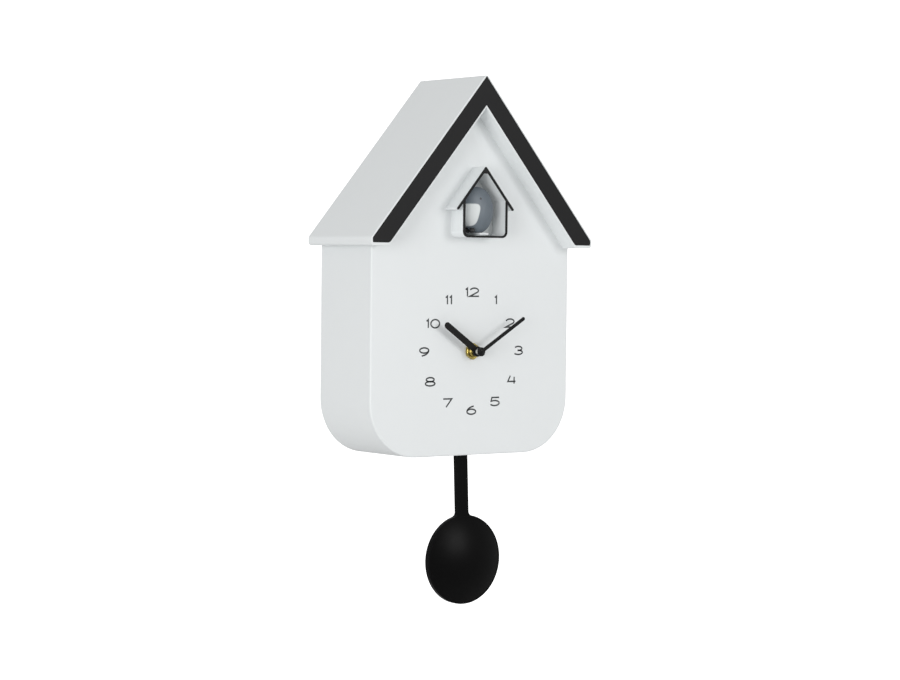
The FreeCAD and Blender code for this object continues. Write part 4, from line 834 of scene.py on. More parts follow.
# ---------------------------------------------------------------------------- roof
@dataclass
class Roof:
    """White roof moulding and the black chevron in its front.

    Attributes:
        slope: rise over run of both faces.
        band: height of the front band straight below the ridge.
        wall: thickness of the skin behind the dial panel.
        rim: white rim left around the chevron.
        foot_rim: white rim below the chevron's feet.
        trim_gap: seam between rim and chevron.
        edge: rounding of the front and back edges.
        eave_round: rounding of the eaves' undersides.
        tip_round: rounding of the eaves' tips.
        ridge_round: rounding of the ridge.
        inner_round: rounding of the band's inner corners.
        bed_radii: roundings of the chevron's bed, in the order that chevron() takes.
        trim_radii: the same of the chevron.
        lip: chamfer where the bed opens.
        trim_edge: rounding of the chevron's front edge.
    """

    slope: float = 1.189
    band: float = 24.3
    wall: float = 2.2
    rim: float = 1.15
    foot_rim: float = 2.2
    trim_gap: float = 0.1
    edge: float = 0.55
    eave_round: float = 2.2
    tip_round: float = 2.2
    ridge_round: float = 2.3
    inner_round: float = 0.3
    bed_radii: tuple[float, ...] = (0.9, 0.9, 3.3, 0.3, 0.3)
    trim_radii: tuple[float, ...] = (0.9, 1.2, 3.5, 0.3, 0.3)
    lip: float = 0.25
    trim_edge: float = 0.3

    def __post_init__(self) -> None:
        """Take the overall sizes from the frame nodes."""
        low, high = box_mm("roof_shell")
        self.half, self.foot, self.top = high[0], low[2], high[2]
        self.front, self.back = low[1], high[1]
        self.panel_back = box_mm("bird_house")[1][1]
        self.trim_depth = box_mm("roof_trim")[1][1] - self.front

    def chevron(self, inset: float, foot_inset: float, radii: tuple[float, ...]) -> Outline:
        """Outline of the front band, inset evenly and more at the feet.

        Args:
            inset: distance inwards.
            foot_inset: distance of the feet above the eaves' underside.
            radii: roundings of the tip, the outer foot, the inner foot, the inner ridge and the ridge.

        Returns:
            The outline, anticlockwise.
        """
        lean = math.hypot(1.0, self.slope)
        top = self.top - inset * lean
        inner = self.top - self.band + inset * lean
        half, foot = self.half - inset, self.foot + foot_inset
        tip, outer_foot, inner_foot, inner_ridge, ridge = radii
        right = [Corner(half, top - self.slope * half, tip), Corner(half, foot, outer_foot),
                 Corner((inner - foot) / self.slope, foot, inner_foot)]
        return Outline((Corner(0.0, top, ridge), *mirrored(right), Corner(0.0, inner, inner_ridge),
                        *right[::-1]))

    def skin_section(self) -> Outline:
        """Section of the roof behind the dial panel: one skin with flat eave feet.

        Returns:
            The outline, anticlockwise.
        """
        lean = math.hypot(1.0, self.slope)
        inner_v = self.top - self.band
        foot_top = self.foot + self.wall
        under = self.top - self.wall * lean
        half = self.half - self.wall
        right = [Corner(self.half, self.top - self.slope * self.half, self.tip_round),
                 Corner(self.half, self.foot, self.eave_round),
                 Corner((inner_v - self.foot) / self.slope, self.foot),
                 Corner((inner_v - foot_top) / self.slope, foot_top), Corner(half, foot_top),
                 Corner(half, under - self.slope * half)]
        return Outline((Corner(0.0, self.top, self.ridge_round), *mirrored(right),
                        Corner(0.0, under), *right[::-1]))

    def build(self) -> None:
        """Make the roof and its trim."""
        outer = self.chevron(0.0, 0.0, (self.tip_round, self.eave_round, self.inner_round,
                                        self.inner_round, self.ridge_round))
        bed = self.chevron(self.rim, self.foot_rim, self.bed_radii)
        bed_floor = self.front + self.trim_depth
        sheaf = Sheaf()
        outside = sheaf.tube(carried(outer, [*rounded_edge(self.front, self.edge, Way.FRONT),
                                             Ring(0.0, self.panel_back)]))
        inside = sheaf.tube(carried(bed, [Ring(-self.lip, self.front),
                                          Ring(0.0, self.front + self.lip), Ring(0.0, bed_floor)]))
        sheaf.cap([outside[0], inside[0]])
        sheaf.cap([inside[-1]])
        sheaf.cap([outside[-1]])
        band = sheaf.piece("roof_front_band")
        dress(band, WHITE_ABS, "white_plastic", Body.CASE, "roof_shell")
        skin = carried_piece("roof_skin", self.skin_section(),
                             [Ring(0.0, self.panel_back), Ring(0.0, self.back - self.edge),
                              *rounded_edge(self.back, self.edge, Way.BACK)[1:]])
        dress(skin, WHITE_ABS, "white_plastic", Body.CASE, "roof_shell")
        gap = self.rim + self.trim_gap
        trim = self.chevron(gap, self.foot_rim + self.trim_gap, self.trim_radii)
        front = rounded_edge(self.front, self.trim_edge, Way.FRONT, 3)
        chevron = carried_piece("roof_chevron", trim, [*front, Ring(0.0, bed_floor)])
        dress(chevron, BLACK_ABS, "black_plastic", Body.CASE, "roof_trim")


# ---------------------------------------------------------------------------- case
class Case:
    """Dial panel with side walls, rear cover, the porch's back wall, battery door and setting knob."""

    def build(self) -> None:
        """Make a smooth copy of each node and dress it."""
        for node in ("front_case", "rear_cover", "bird_house_back"):
            dress(merged_copy(node), WHITE_ABS, "white_plastic", Body.CASE)
        dress(merged_copy("battery_door"), WHITE_ABS, "white_plastic", Body.LID)
        dress(merged_copy("set_knob"), WHITE_ABS, "white_plastic", Body.SETTING)


# ---------------------------------------------------------------------------- porch
@dataclass
class Porch:
    """The bird's small house on the dial panel, with its black outline.

    Attributes:
        half: inside, centre to wall.
        wall: wall thickness.
        slope: rise over run of its roof.
        roof: thickness of its roof slabs.
        eave_half: centre to the eaves' tips.
        flat: depth of the level ceiling below the ridge.
        inner_round: rounding of the hollow's lower corners.
        tip_round: rounding of the eaves' tips.
        ridge_round: rounding of the ridge, and of the corners under the eaves.
        spigot: how much wider than the hollow the part behind the panel is, on each side.
        trim_edge: rounding of the black outline's front edges.
    """

    half: float = 18.3
    wall: float = 1.45
    slope: float = 1.189
    roof: float = 1.6
    eave_half: float = 25.6
    flat: float = 5.0
    inner_round: float = 3.0
    tip_round: float = 0.5
    ridge_round: float = 0.4
    spigot: float = 1.0
    trim_edge: float = 0.3

    def __post_init__(self) -> None:
        """Take the overall sizes from the frame nodes."""
        low, high = box_mm("bird_house")
        self.front, self.back = low[1], high[1]
        self.trim_front = box_mm("bird_house_trim")[0][1]
        self.ridge, self.low = high[2], low[2]
        self.panel = box_mm("front_case")[0][1]

    def outside(self) -> Outline:
        """Walls and overhanging roof slabs in one outline.

        Returns:
            The outline, anticlockwise.
        """
        lean = math.hypot(1.0, self.slope)
        wall_x = self.half + self.wall
        under = self.ridge - self.roof * lean
        tip_z = self.ridge - self.slope * self.eave_half
        back_x = self.eave_half - self.roof * self.slope / lean
        right = [Corner(self.eave_half, tip_z, self.tip_round),
                 Corner(back_x, tip_z - self.roof / lean, self.tip_round),
                 Corner(wall_x, under - self.slope * wall_x, self.ridge_round),
                 Corner(wall_x, self.low, self.inner_round + self.wall)]
        return Outline((Corner(0.0, self.ridge, self.ridge_round), *mirrored(right), *right[::-1]))

    def inside(self, grow: float = 0.0) -> Outline:
        """The hollow of the house.

        Args:
            grow: distance that it is grown outwards.

        Returns:
            The outline, anticlockwise.
        """
        lean = math.hypot(1.0, self.slope)
        half, low = self.half + grow, self.low + self.wall - grow
        ridge = self.ridge + (grow - self.roof) * lean
        flat = self.ridge - self.flat + grow
        flat_x = (ridge - flat) / self.slope
        right = [Corner(half, low, self.inner_round + grow), Corner(half, ridge - self.slope * half),
                 Corner(flat_x, flat)]
        return Outline((*right, *mirrored(right[::-1])))

    def build(self) -> None:
        """Make the house, its spigot in the panel and its black outline."""
        sheaf = Sheaf()
        outside = sheaf.tube(carried(self.outside(), [Ring(0.0, self.front), Ring(0.0, self.panel)]))
        spigot = sheaf.tube(carried(self.inside(self.spigot),
                                    [Ring(0.0, self.panel), Ring(0.0, self.back)]))
        inside = sheaf.tube(carried(self.inside(), [Ring(0.0, self.front), Ring(0.0, self.back)]))
        sheaf.cap([outside[0], inside[0]])
        sheaf.cap([outside[-1], spigot[0]])
        sheaf.cap([spigot[-1], inside[-1]])
        dress(sheaf.piece("bird_porch"), WHITE_ABS, "white_plastic", Body.CASE, "bird_house")
        edge = rounded_edge(self.trim_front, self.trim_edge, Way.FRONT, 3)
        hole = [Ring(-ring.inset, ring.y) for ring in edge]
        outline = carried_piece("bird_porch_outline", self.outside(), [*edge, Ring(0.0, self.front)],
                                ((self.inside(), [*hole, Ring(0.0, self.front)]),))
        dress(outline, BLACK_ABS, "black_plastic", Body.CASE, "bird_house_trim")


# ---------------------------------------------------------------------------- dial numerals
ARC_STEP = 9.0           # degrees between two points of a bow
ARC_POINTS = 4           # fewest points of a bow


@dataclass(frozen=True)
class Bow:
    """A piece of an ellipse in a numeral, in units of the cap height; angles in degrees."""

    x: float
    z: float
    reach_x: float
    reach_z: float
    start: float
    end: float

    def points(self) -> np.ndarray:
        """Points (x + a cos t, z + b sin t) for t from start to end.

        Returns:
            An array of x and z values.
        """
        count = max(ARC_POINTS, int(abs(self.end - self.start) / ARC_STEP))
        turn = np.radians(np.linspace(self.start, self.end, count))
        return np.stack([self.x + self.reach_x * np.cos(turn), self.z + self.reach_z * np.sin(turn)],
                        axis=1)


@dataclass(frozen=True)
class Dot:
    """A plain point of a numeral's stroke."""

    x: float
    z: float

    def points(self) -> np.ndarray:
        """The point as a one-row array."""
        return np.array([[self.x, self.z]])


Stroke = tuple[Bow | Dot, ...]
DIGITS: dict[str, tuple[Stroke, ...]] = {
    "0": ((Bow(0.45, 0.5, 0.42, 0.5, 0, 360),),),
    "1": ((Dot(0.0, 0.80), Dot(0.17, 1.0), Dot(0.17, 0.0)),),
    "2": ((Bow(0.46, 0.69, 0.40, 0.31, 168, -38), Dot(0.03, 0.0), Dot(0.92, 0.0)),),
    "3": ((Bow(0.44, 0.745, 0.37, 0.255, 150, -90), Bow(0.44, 0.26, 0.42, 0.26, 90, -152)),),
    "4": ((Dot(0.27, 1.0), Dot(0.02, 0.28), Dot(0.80, 0.28)), (Dot(0.66, 0.85), Dot(0.66, 0.0))),
    "5": ((Dot(0.92, 1.0), Dot(0.20, 1.0), Dot(0.12, 0.56), Bow(0.47, 0.31, 0.46, 0.31, 112, -152)),),
    "6": ((Bow(0.47, 0.31, 0.43, 0.31, 0, 360),),
          (Bow(0.92, 0.31, 0.88, 0.69, 180, 104),)),
    "7": ((Dot(0.02, 1.0), Dot(0.85, 1.0), Dot(0.30, 0.0)),),
    "8": ((Bow(0.475, 0.75, 0.38, 0.25, -90, 270),), (Bow(0.475, 0.26, 0.46, 0.26, 90, 450),)),
    "9": ((Bow(0.47, 0.69, 0.43, 0.31, 0, 360),),
          (Bow(0.02, 0.69, 0.88, 0.69, 0, -76),)),
}
DIGIT_WIDTH = {"0": 0.88, "1": 0.17, "2": 0.92, "3": 0.86, "4": 0.82, "5": 0.93, "6": 0.90,
               "7": 0.87, "8": 0.95, "9": 0.90}


@dataclass
class Dial:
    """Printed numerals: flat ribbons of ink, a few hundredths of a millimetre thick.

    Attributes:
        ring: radius of the numerals' middles.
        near_ring: the same for 2 and 10.
        cap: height of a numeral.
        stroke: width of its strokes.
        gap: space between the two figures of 10, 11 and 12.
        ink: thickness of the print.
        stretch: width of the figures, as a share of the drawn shapes.
    """

    ring: float = 42.6
    near_ring: float = 40.2
    cap: float = 5.9
    stroke: float = 1.1
    gap: float = 2.0
    ink: float = 0.04
    stretch: float = 1.55

    def ribbon(self, centre: np.ndarray, sheaf: Sheaf, y: float) -> None:
        """Add one stroke as a thin closed strip.

        The edges are centre +- half the stroke along the averaged normal, lengthened at bends by
        1 / cos of half the turn.

        Args:
            centre: stroke's middle line, in millimetres.
            sheaf: collects the surfaces.
            y: place of the panel's face.
        """
        closed = bool(np.allclose(centre[0], centre[-1], atol=1e-6))
        line = centre[:-1] if closed else centre
        step = np.diff(np.vstack([line, line[:1]]) if closed else line, axis=0)
        step /= np.linalg.norm(step, axis=1, keepdims=True)
        normal = np.stack([-step[:, 1], step[:, 0]], axis=1)
        before = np.roll(normal, 1, axis=0) if closed else np.vstack([normal[:1], normal])
        after = normal if closed else np.vstack([normal, normal[-1:]])
        side = (before + after) / (1.0 + (before * after).sum(axis=1, keepdims=True))
        half = self.stroke / 2
        left, right = line + half * side, line - half * side
        front, back = y - self.ink, y + self.ink
        ring = [np.stack([p[:, 0], np.full(len(p), d), p[:, 1]], axis=1)
                for p, d in ((left, front), (right, front), (right, back), (left, back))]
        grid = np.stack(ring, axis=1)
        if closed:
            grid = np.concatenate([grid, grid[:1]])
        numbers = sheaf.tube(grid)
        if not closed:
            sheaf.faces += [numbers[0].tolist(), numbers[-1].tolist()]

    def write(self, text: str, middle: np.ndarray, sheaf: Sheaf, y: float) -> None:
        """Add the figures of one numeral, centred on a point.

        Args:
            text: the numeral's figures.
            middle: x and z of its middle, in millimetres.
            sheaf: collects the surfaces.
            y: place of the panel's face.
        """
        widths = [DIGIT_WIDTH[c] * self.cap * self.stretch for c in text]
        left = middle[0] - (sum(widths) + self.gap * (len(text) - 1)) / 2
        for figure, width in zip(text, widths):
            for stroke in DIGITS[figure]:
                points = np.concatenate([part.points() for part in stroke]) * self.cap
                place = points * [self.stretch, 1.0] + [left, middle[1] - self.cap / 2]
                self.ribbon(place, sheaf, y)
            left += width + self.gap

    def build(self) -> None:
        """Make the twelve numerals as one piece of print."""
        axis = centre_mm("dial_nut")
        panel = box_mm("front_case")[0][1]
        sheaf = Sheaf()
        for hour in range(1, 13):
            turn = math.radians(30.0 * hour)
            ring = self.near_ring if hour in (2, 10) else self.ring
            middle = np.array([axis[0] + ring * math.sin(turn), axis[2] + ring * math.cos(turn)])
            self.write(str(hour), middle, sheaf, panel)
        dress(sheaf.piece("dial_numerals"), INK, "hand_black", Body.CASE)


# ---------------------------------------------------------------------------- hands and their stack
@dataclass
class Hands:
    """Hour and minute hand with their hubs, the cap, and the brass nut behind them.

    Attributes:
        minute_angle: clockwise from twelve, degrees.
        hour_size: length, width and hub radius of the hour hand.
        minute_size: the same of the minute hand.
        blade: thickness of a hand.
        hub_depth: length of a hub along the arbor.
        edge: rounding of the blades' front edges.
        bores: radii of the two hubs' bores, hour and minute.
        blade_sunk: how far a blade lies behind its hub's face.
        tip_share: rounding of a blade's ends, as a share of its half width, so that arcs don't meet.
        hub_front: front edge of a hub, as steps in from its radius and back from its face.
        hub_back: chamfer of a hub's back edge.
        thread_r: radius of the dial bush's thread, outside.
        nut_columns: steps round the nut.
        nut_cones: how far the chamfer's cone stands beyond half the nut's width, at its front, at
            both cuts and at its back.
        nut_cuts: distance of the cuts from the nut's front and from its back.
        nut_lead: chamfer of the nut's bore.
        pitch: pitch of the thread.
        thread: depth of the thread.
        lead: length of the cone at the bush's tip, and the radius that it starts at.
        shank: radius of the bush behind the thread, and the step before it.
        bush_bore: radius of the bush's bore.
        nub: radius and height of the cap's rounded nub.
        cap_rim: radius of the cap, radius of its shoulder, and how far shoulder and rim lie before
            its back.
        hour: the full hour that the hour hand has passed.
        nut_sharp: edges of the nut that turn more stay sharp, in degrees.
    """

    minute_angle: float = 58.3
    hour_size: tuple[float, float, float] = (35.6, 4.9, 3.75)
    minute_size: tuple[float, float, float] = (46.0, 2.7, 3.25)
    blade: float = 0.6
    hub_depth: float = 1.5
    edge: float = 0.2
    bores: tuple[float, float] = (2.4, 1.5)
    blade_sunk: float = 0.3
    tip_share: float = 0.999
    hub_front: tuple[tuple[float, float], ...] = ((0.7, 0.0), (0.25, 0.1), (0.0, 0.35))
    hub_back: float = 0.2
    thread_r: float = 4.0
    nut_columns: int = 96
    nut_cones: tuple[float, float, float] = (-0.30, 0.45, 0.0)
    nut_cuts: tuple[float, float] = (0.45, 0.3)
    nut_lead: float = 0.35
    pitch: float = 0.75
    thread: float = 0.22
    lead: tuple[float, float] = (0.3, 3.6)
    shank: tuple[float, float] = (3.98, 0.05)
    bush_bore: float = 2.46
    nub: tuple[float, float] = (1.15, 1.1)
    cap_rim: tuple[float, float, float, float] = (2.1, 1.9, 0.5, 0.3)
    hour: int = 10
    nut_sharp: float = 25.0

    def capsule(self, length: float, width: float, angle: float, axis: np.ndarray) -> Outline:
        """Round-ended blade, turned clockwise about the axis.

        Args:
            length: from the axis to the tip.
            width: the blade's width.
            angle: turn from twelve, in degrees.
            axis: x, y and z of the axis.

        Returns:
            The outline, anticlockwise.
        """
        half, turn = width / 2, math.radians(angle)
        flat = np.array([(-half, -half), (half, -half), (half, length), (-half, length)])
        spin = np.array([[math.cos(turn), -math.sin(turn)], [math.sin(turn), math.cos(turn)]])
        placed = flat @ spin + [axis[0], axis[2]]
        return Outline(tuple(Corner(x, z, half * self.tip_share) for x, z in placed), steps=12)

    def hand(self, name: str, node: str, size: tuple[float, float, float], angle: float,
             bore: float, body: Body) -> None:
        """Make one hand: a flat blade with softened edges and a turned hub.

        Args:
            name: name of the blade.
            node: the hand's frame node.
            size: length, width and hub radius.
            angle: turn from twelve, in degrees.
            bore: radius of the hub's bore.
            body: the body that it rides on.
        """
        face = box_mm(node)[0][1]
        axis = centre_mm("dial_nut")
        length, width, hub = size
        front = face + self.blade_sunk
        blade = carried_piece(name, self.capsule(length, width, angle, axis),
                              [*rounded_edge(front, self.edge, Way.FRONT, 3),
                               *rounded_edge(front + self.blade, self.edge / 2, Way.BACK, 2)])
        dress(blade, HAND_PAINT, "hand_black", body, node)
        back, cut = face + self.hub_depth, self.hub_back
        rim = [(hub - inward, face + behind) for inward, behind in self.hub_front]
        profile = np.array([(bore, back), (bore, face), *rim, (hub, back - cut), (hub - cut, back),
                            (bore, back)])
        ring = turned_piece(name + "_hub", profile, axis[[0, 2]])
        dress(ring, HAND_PAINT, "hand_black", body, node)

    def nut(self) -> None:
        """Hex nut whose corners are chamfered: radius = min(hexagon, cone) at every angle."""
        low, high = box_mm("dial_nut")
        centre = centre_mm("dial_nut")
        half, bore = (high[0] - low[0]) / 2, self.thread_r
        turn = np.linspace(0.0, 2 * math.pi, self.nut_columns, endpoint=False)
        sector = (turn + math.pi / 6) % (math.pi / 3) - math.pi / 6
        hexagon = half / np.cos(sector)
        at_front, at_cuts, at_back = self.nut_cones
        stations = [(low[1], at_front), (low[1] + self.nut_cuts[0], at_cuts),
                    (high[1] - self.nut_cuts[1], at_cuts), (high[1], at_back)]
        rows = [(np.minimum(hexagon, half + cone), np.full(self.nut_columns, y)) for y, cone in stations]
        sheaf = Sheaf()
        outside = sheaf.tube(np.stack([np.stack([centre[0] + r * np.cos(turn), y,
                                                 centre[2] + r * np.sin(turn)], axis=1)
                                       for r, y in rows]))
        inner = np.array([(bore + self.nut_lead, low[1]), (bore, low[1] + self.nut_lead),
                          (bore, high[1])])
        inside = sheaf.tube(turned_grid(inner, centre[[0, 2]], self.nut_columns))
        sheaf.cap([outside[0], inside[0]])
        sheaf.cap([outside[-1], inside[-1]])
        dress(sheaf.piece("brass_nut", self.nut_sharp), self.brass(centre), "brass", Body.CASE,
              "dial_nut")

    def brass(self, centre: np.ndarray) -> BandedFinish:
        """Turned brass with rings about the dial's axis.

        Args:
            centre: x, y and z of a point on that axis.

        Returns:
            The finish.
        """
        return BandedFinish("turned_brass", (0.44, 0.35, 0.10), (0.28, 0.21, 0.05), 0.30, 0.1, 0.01,
                            metallic=1.0, bands=2200.0, rings=True, contrast=0.5,
                            centre=(float(centre[0]), float(centre[2])))

    def bush(self) -> None:
        """Threaded bush: the radius follows a triangle wave along y."""
        low, high = box_mm("dial_bush")
        centre = centre_mm("dial_bush")
        nut_front = box_mm("dial_nut")[0][1]
        depth = np.linspace(low[1] + self.lead[0], nut_front, 40)
        wave = np.abs(((depth - low[1]) / self.pitch) % 1.0 - 0.5) * 2.0
        outside = np.stack([self.thread_r - self.thread * wave, depth], axis=1)
        bore, (shank, step) = self.bush_bore, self.shank
        profile = np.vstack([[(bore, low[1]), (self.lead[1], low[1])], outside,
                             [(shank, nut_front + step), (shank, high[1]), (bore, high[1]),
                              (bore, low[1])]])
        dress(turned_piece("threaded_bush", profile, centre[[0, 2]], 48), self.brass(centre),
              "brass", Body.CASE, "dial_bush")

    def build(self) -> None:
        """Make both hands, the cap, the nut and the bush."""
        hour_angle = 30.0 * self.hour + self.minute_angle / 12.0
        self.hand("hour_blade", "hour_hand", self.hour_size, hour_angle, self.bores[0], Body.HOUR)
        self.hand("minute_blade", "minute_hand", self.minute_size, self.minute_angle, self.bores[1],
                  Body.MINUTE)
        low, high = box_mm("hand_cap")
        axis = centre_mm("hand_cap")
        turn = np.linspace(0.0, math.pi / 2, 9)
        reach, tall = self.nub
        nub = np.stack([reach * np.sin(turn), low[1] + tall * (1 - np.cos(turn))], axis=1)
        rim, shoulder, shoulder_at, rim_at = self.cap_rim
        profile = np.vstack([nub, [(shoulder, high[1] - shoulder_at), (rim, high[1] - rim_at),
                                   (rim, high[1]), (0.0, high[1])]])
        dress(turned_piece("cap_nub", profile, axis[[0, 2]], 40), HAND_PAINT, "hand_cap_black",
              Body.MINUTE, "hand_cap")
        self.nut()
        self.bush()


# ---------------------------------------------------------------------------- pendulum
@dataclass
class Pendulum:
    """Flat rod and domed disc in one black moulding.

    Attributes:
        rod_half: half the rod's width.
        fillet: radius between rod and disc.
        lip: flat border around the dome.
        dome: how far the dome stands out.
        edge: rounding of the front edges.
        back_edge: rounding of the back edges.
        sharp: edges that turn more stay sharp, in degrees.
    """

    rod_half: float = 5.1
    fillet: float = 3.5
    lip: float = 1.3
    dome: float = 6.5
    edge: float = 0.4
    back_edge: float = 0.4
    sharp: float = 50.0

    def __post_init__(self) -> None:
        """Take disc, pivot and length from the frame, and the angle that the rod hangs at."""
        low, high = box_mm("pendulum_arm")
        pivot = joint_mm("pendulum_swing")[[0, 2]]
        self.radius = (high[0] - low[0]) / 2
        self.middle = np.array([(high[0] + low[0]) / 2, low[2] + self.radius])
        hang = self.middle - pivot
        self.swing = math.atan2(hang[0], -hang[1])
        above = (pivot[1] - high[2] + self.rod_half * math.sin(self.swing)) / math.cos(self.swing)
        self.reach = float(np.hypot(*hang)) - above
        self.back = high[1]
        self.front = low[1] + self.dome

    def outline(self, inset: float) -> np.ndarray:
        """Points of rod, fillets and disc, all moved inwards by an inset.

        The fillet centres stay at (w + f, sqrt((R + f)^2 - (w + f)^2)) from the disc's middle, while
        the disc's radius and the rod's half width shrink by the inset and the fillet grows by it.
        The whole loop is then turned about the disc's middle by the angle that the rod hangs at.

        Args:
            inset: distance inwards in millimetres.

        Returns:
            An array of x and z values.
        """
        reach = self.rod_half + self.fillet
        rise = math.sqrt((self.radius + self.fillet) ** 2 - reach ** 2)
        lean = math.atan2(rise, reach)
        disc_turn = np.linspace(lean, math.pi - lean - 2 * math.pi, 97)
        disc = (self.radius - inset) * np.stack([np.cos(disc_turn), np.sin(disc_turn)], axis=1)
        bend = np.linspace(lean + math.pi, math.pi, 10)
        small = (self.fillet + inset) * np.stack([np.cos(bend), np.sin(bend)], axis=1)
        right = small + [reach, rise]
        left = (small * [-1, 1] + [-reach, rise])[::-1]
        end_z = self.reach - inset
        rod_x = self.rod_half - inset
        ends = np.array([(-rod_x, end_z), (rod_x, end_z)])
        loop = np.vstack([right[::-1], disc[1:-1], left[::-1], ends])
        cos, sin = math.cos(self.swing), math.sin(self.swing)
        return loop @ np.array([[cos, sin], [-sin, cos]]) + self.middle

    def build(self) -> None:
        """Make the moulding: the flat body, then the dome that closes its front."""
        rings = [*rounded_edge(self.front, self.edge, Way.FRONT),
                 *rounded_edge(self.back, self.back_edge, Way.BACK, 3)]
        grid = np.stack([np.insert(self.outline(r.inset), 1, r.y, axis=1) for r in rings])
        sheaf = Sheaf()
        body = sheaf.tube(grid)
        base = self.radius - self.lip
        ball = (base ** 2 + self.dome ** 2) / (2 * self.dome)
        radius = base * np.sin(np.linspace(math.pi / 2, 0.0, 28))[:-1]
        height = np.sqrt(ball ** 2 - radius ** 2) - (ball - self.dome)
        profile = np.stack([radius, self.front - height], axis=1)
        dome = sheaf.tube(turned_grid(profile, self.middle, 128))
        sheaf.pole(dome[-1], np.array([self.middle[0], self.front - self.dome, self.middle[1]]))
        sheaf.cap([body[0], dome[0]])
        sheaf.cap([body[-1]])
        dress(sheaf.piece("pendulum_moulding", self.sharp), BLACK_BOB, "black_plastic", Body.PENDULUM,
              "pendulum_arm")


# ---------------------------------------------------------------------------- bird
@dataclass
class Bird:
    """Plump little bird that faces left, with a white breast.

    Attributes:
        half_y: half the body's thickness.
        head_reach: half sizes of the head's ellipsoid.
        head_shift: head's middle in front of the body's.
        head_from_top: height of the head's middle below the crown.
        wing_rise: how far the wing pads stand out.
        foot_sunk: how far the body reaches below its frame node.
        blend: power that joins body and head; a larger one gives a sharper neck.
        wing_lean: turn of the wing pads from upright, in degrees.
        wing_at: x and z of the wing pads' middle from the body's.
        wing_long: half the length of a wing pad.
        wing_wide: half its width, and how much that grows for each step along it.
        wing_edge: value of the pad's oval where its edge ends, and width of the edge.
        side_share: how fast a pad rises away from the middle plane.
        beak_size: radius of the beak's root, flatness and droop, and its length inside the head.
        beak_power: power of its taper, and radius of its tip.
        eye_at: x of an eye, its distance from the middle plane and its depth below the crown.
        eye_reach: half sizes of an eye.
        breast_at: x and z of the breast's middle from the body's.
        breast_reach: half sizes of the breast.
        sharp: edges that turn more stay sharp, in degrees, on the skin and on its details.
    """

    half_y: float = 6.3
    head_reach: tuple[float, float, float] = (9.0, 5.3, 9.0)
    head_shift: float = -2.8
    head_from_top: float = 9.3
    wing_rise: float = 0.3
    foot_sunk: float = 0.3
    blend: float = 18.0
    wing_lean: float = 24.0
    wing_at: tuple[float, float] = (4.6, -1.8)
    wing_long: float = 10.0
    wing_wide: tuple[float, float] = (4.6, 0.22)
    wing_edge: tuple[float, float] = (1.15, 0.3)
    side_share: float = 4.0
    beak_size: tuple[float, float, float, float] = (1.9, 0.85, 0.9, 1.2)
    beak_power: tuple[float, float] = (0.8, 0.05)
    eye_at: tuple[float, float, float] = (-1.5, 5.2, 8.4)
    eye_reach: tuple[float, float, float] = (1.0, 0.6, 1.0)
    breast_at: tuple[float, float] = (-10.3, -3.5)
    breast_reach: tuple[float, float] = (7.1, 8.0)
    sharp: tuple[float, float] = (70.0, 60.0)

    def __post_init__(self) -> None:
        """Take the body's size and place from its frame node."""
        low, high = box_mm("bird_body")
        tall = (high[2] - low[2] + self.foot_sunk) / 2
        self.body_reach = np.array([(high[0] - low[0]) / 2, self.half_y, tall])
        self.middle = np.array([(low[0] + high[0]) / 2, (low[1] + high[1]) / 2, high[2] - tall])
        self.crown = high[2]

    def ray(self, way: np.ndarray, centre: np.ndarray, reach: np.ndarray) -> np.ndarray:
        """Distance from the body's middle to an ellipsoid along each unit direction.

        Solves |(t d - c) / r|^2 = 1 for the far root t.

        Args:
            way: unit directions d.
            centre: the ellipsoid's middle c, from the body's.
            reach: its half sizes r.

        Returns:
            The distances, 0 where the ray misses.
        """
        d, c = way / reach, centre / reach
        a, b, k = (d * d).sum(-1), (d * c).sum(-1), (c * c).sum() - 1.0
        inside = np.maximum(b * b - a * k, 0.0)
        return np.maximum((b + np.sqrt(inside)) / a, 0.0)

    def skin(self) -> np.ndarray:
        """Body and head as one radial surface.

        The radius in each direction is the smooth maximum (rb^k + rh^k)^(1/k) of the two
        ellipsoids, and a wing pad of smooth-step edge is added on both sides.

        Returns:
            A grid of (rows, columns, 3) in millimetres.
        """
        way = directions(73, 128)
        head = np.array([self.head_shift, 0.0, self.crown - self.head_from_top - self.middle[2]])
        body = self.ray(way, np.zeros(3), self.body_reach)
        crown = self.ray(way, head, np.array(self.head_reach))
        radius = (body ** self.blend + crown ** self.blend) ** (1.0 / self.blend)
        points = way * radius[..., None]
        lean = math.radians(self.wing_lean)
        x, z = points[..., 0] - self.wing_at[0], points[..., 2] - self.wing_at[1]
        along = x * math.sin(lean) + z * math.cos(lean)
        aside = x * math.cos(lean) - z * math.sin(lean)
        taper = self.wing_wide[0] + self.wing_wide[1] * along
        oval = (along / self.wing_long) ** 2 + (aside / taper) ** 2
        rise = np.clip((self.wing_edge[0] - oval) / self.wing_edge[1], 0.0, 1.0)
        rise = rise * rise * (3 - 2 * rise) * self.wing_rise
        side = np.clip(np.abs(way[..., 1]) * self.side_share, 0, 1)
        points[..., 1] += np.sign(points[..., 1]) * rise * side
        return points + self.middle

    def ball(self, name: str, centre: np.ndarray, reach: np.ndarray) -> bpy.types.Object:
        """A small ellipsoid, centre + reach d for every unit direction d.

        Args:
            name: name of the piece.
            centre: its middle, in millimetres.
            reach: its half sizes.

        Returns:
            The piece.
        """
        sheaf = Sheaf()
        numbers = sheaf.tube(directions(17, 28) * reach + centre)
        sheaf.pole(numbers[0], centre + [0, 0, reach[2]])
        sheaf.pole(numbers[-1], centre - [0, 0, reach[2]])
        return sheaf.piece(name, self.sharp[1])

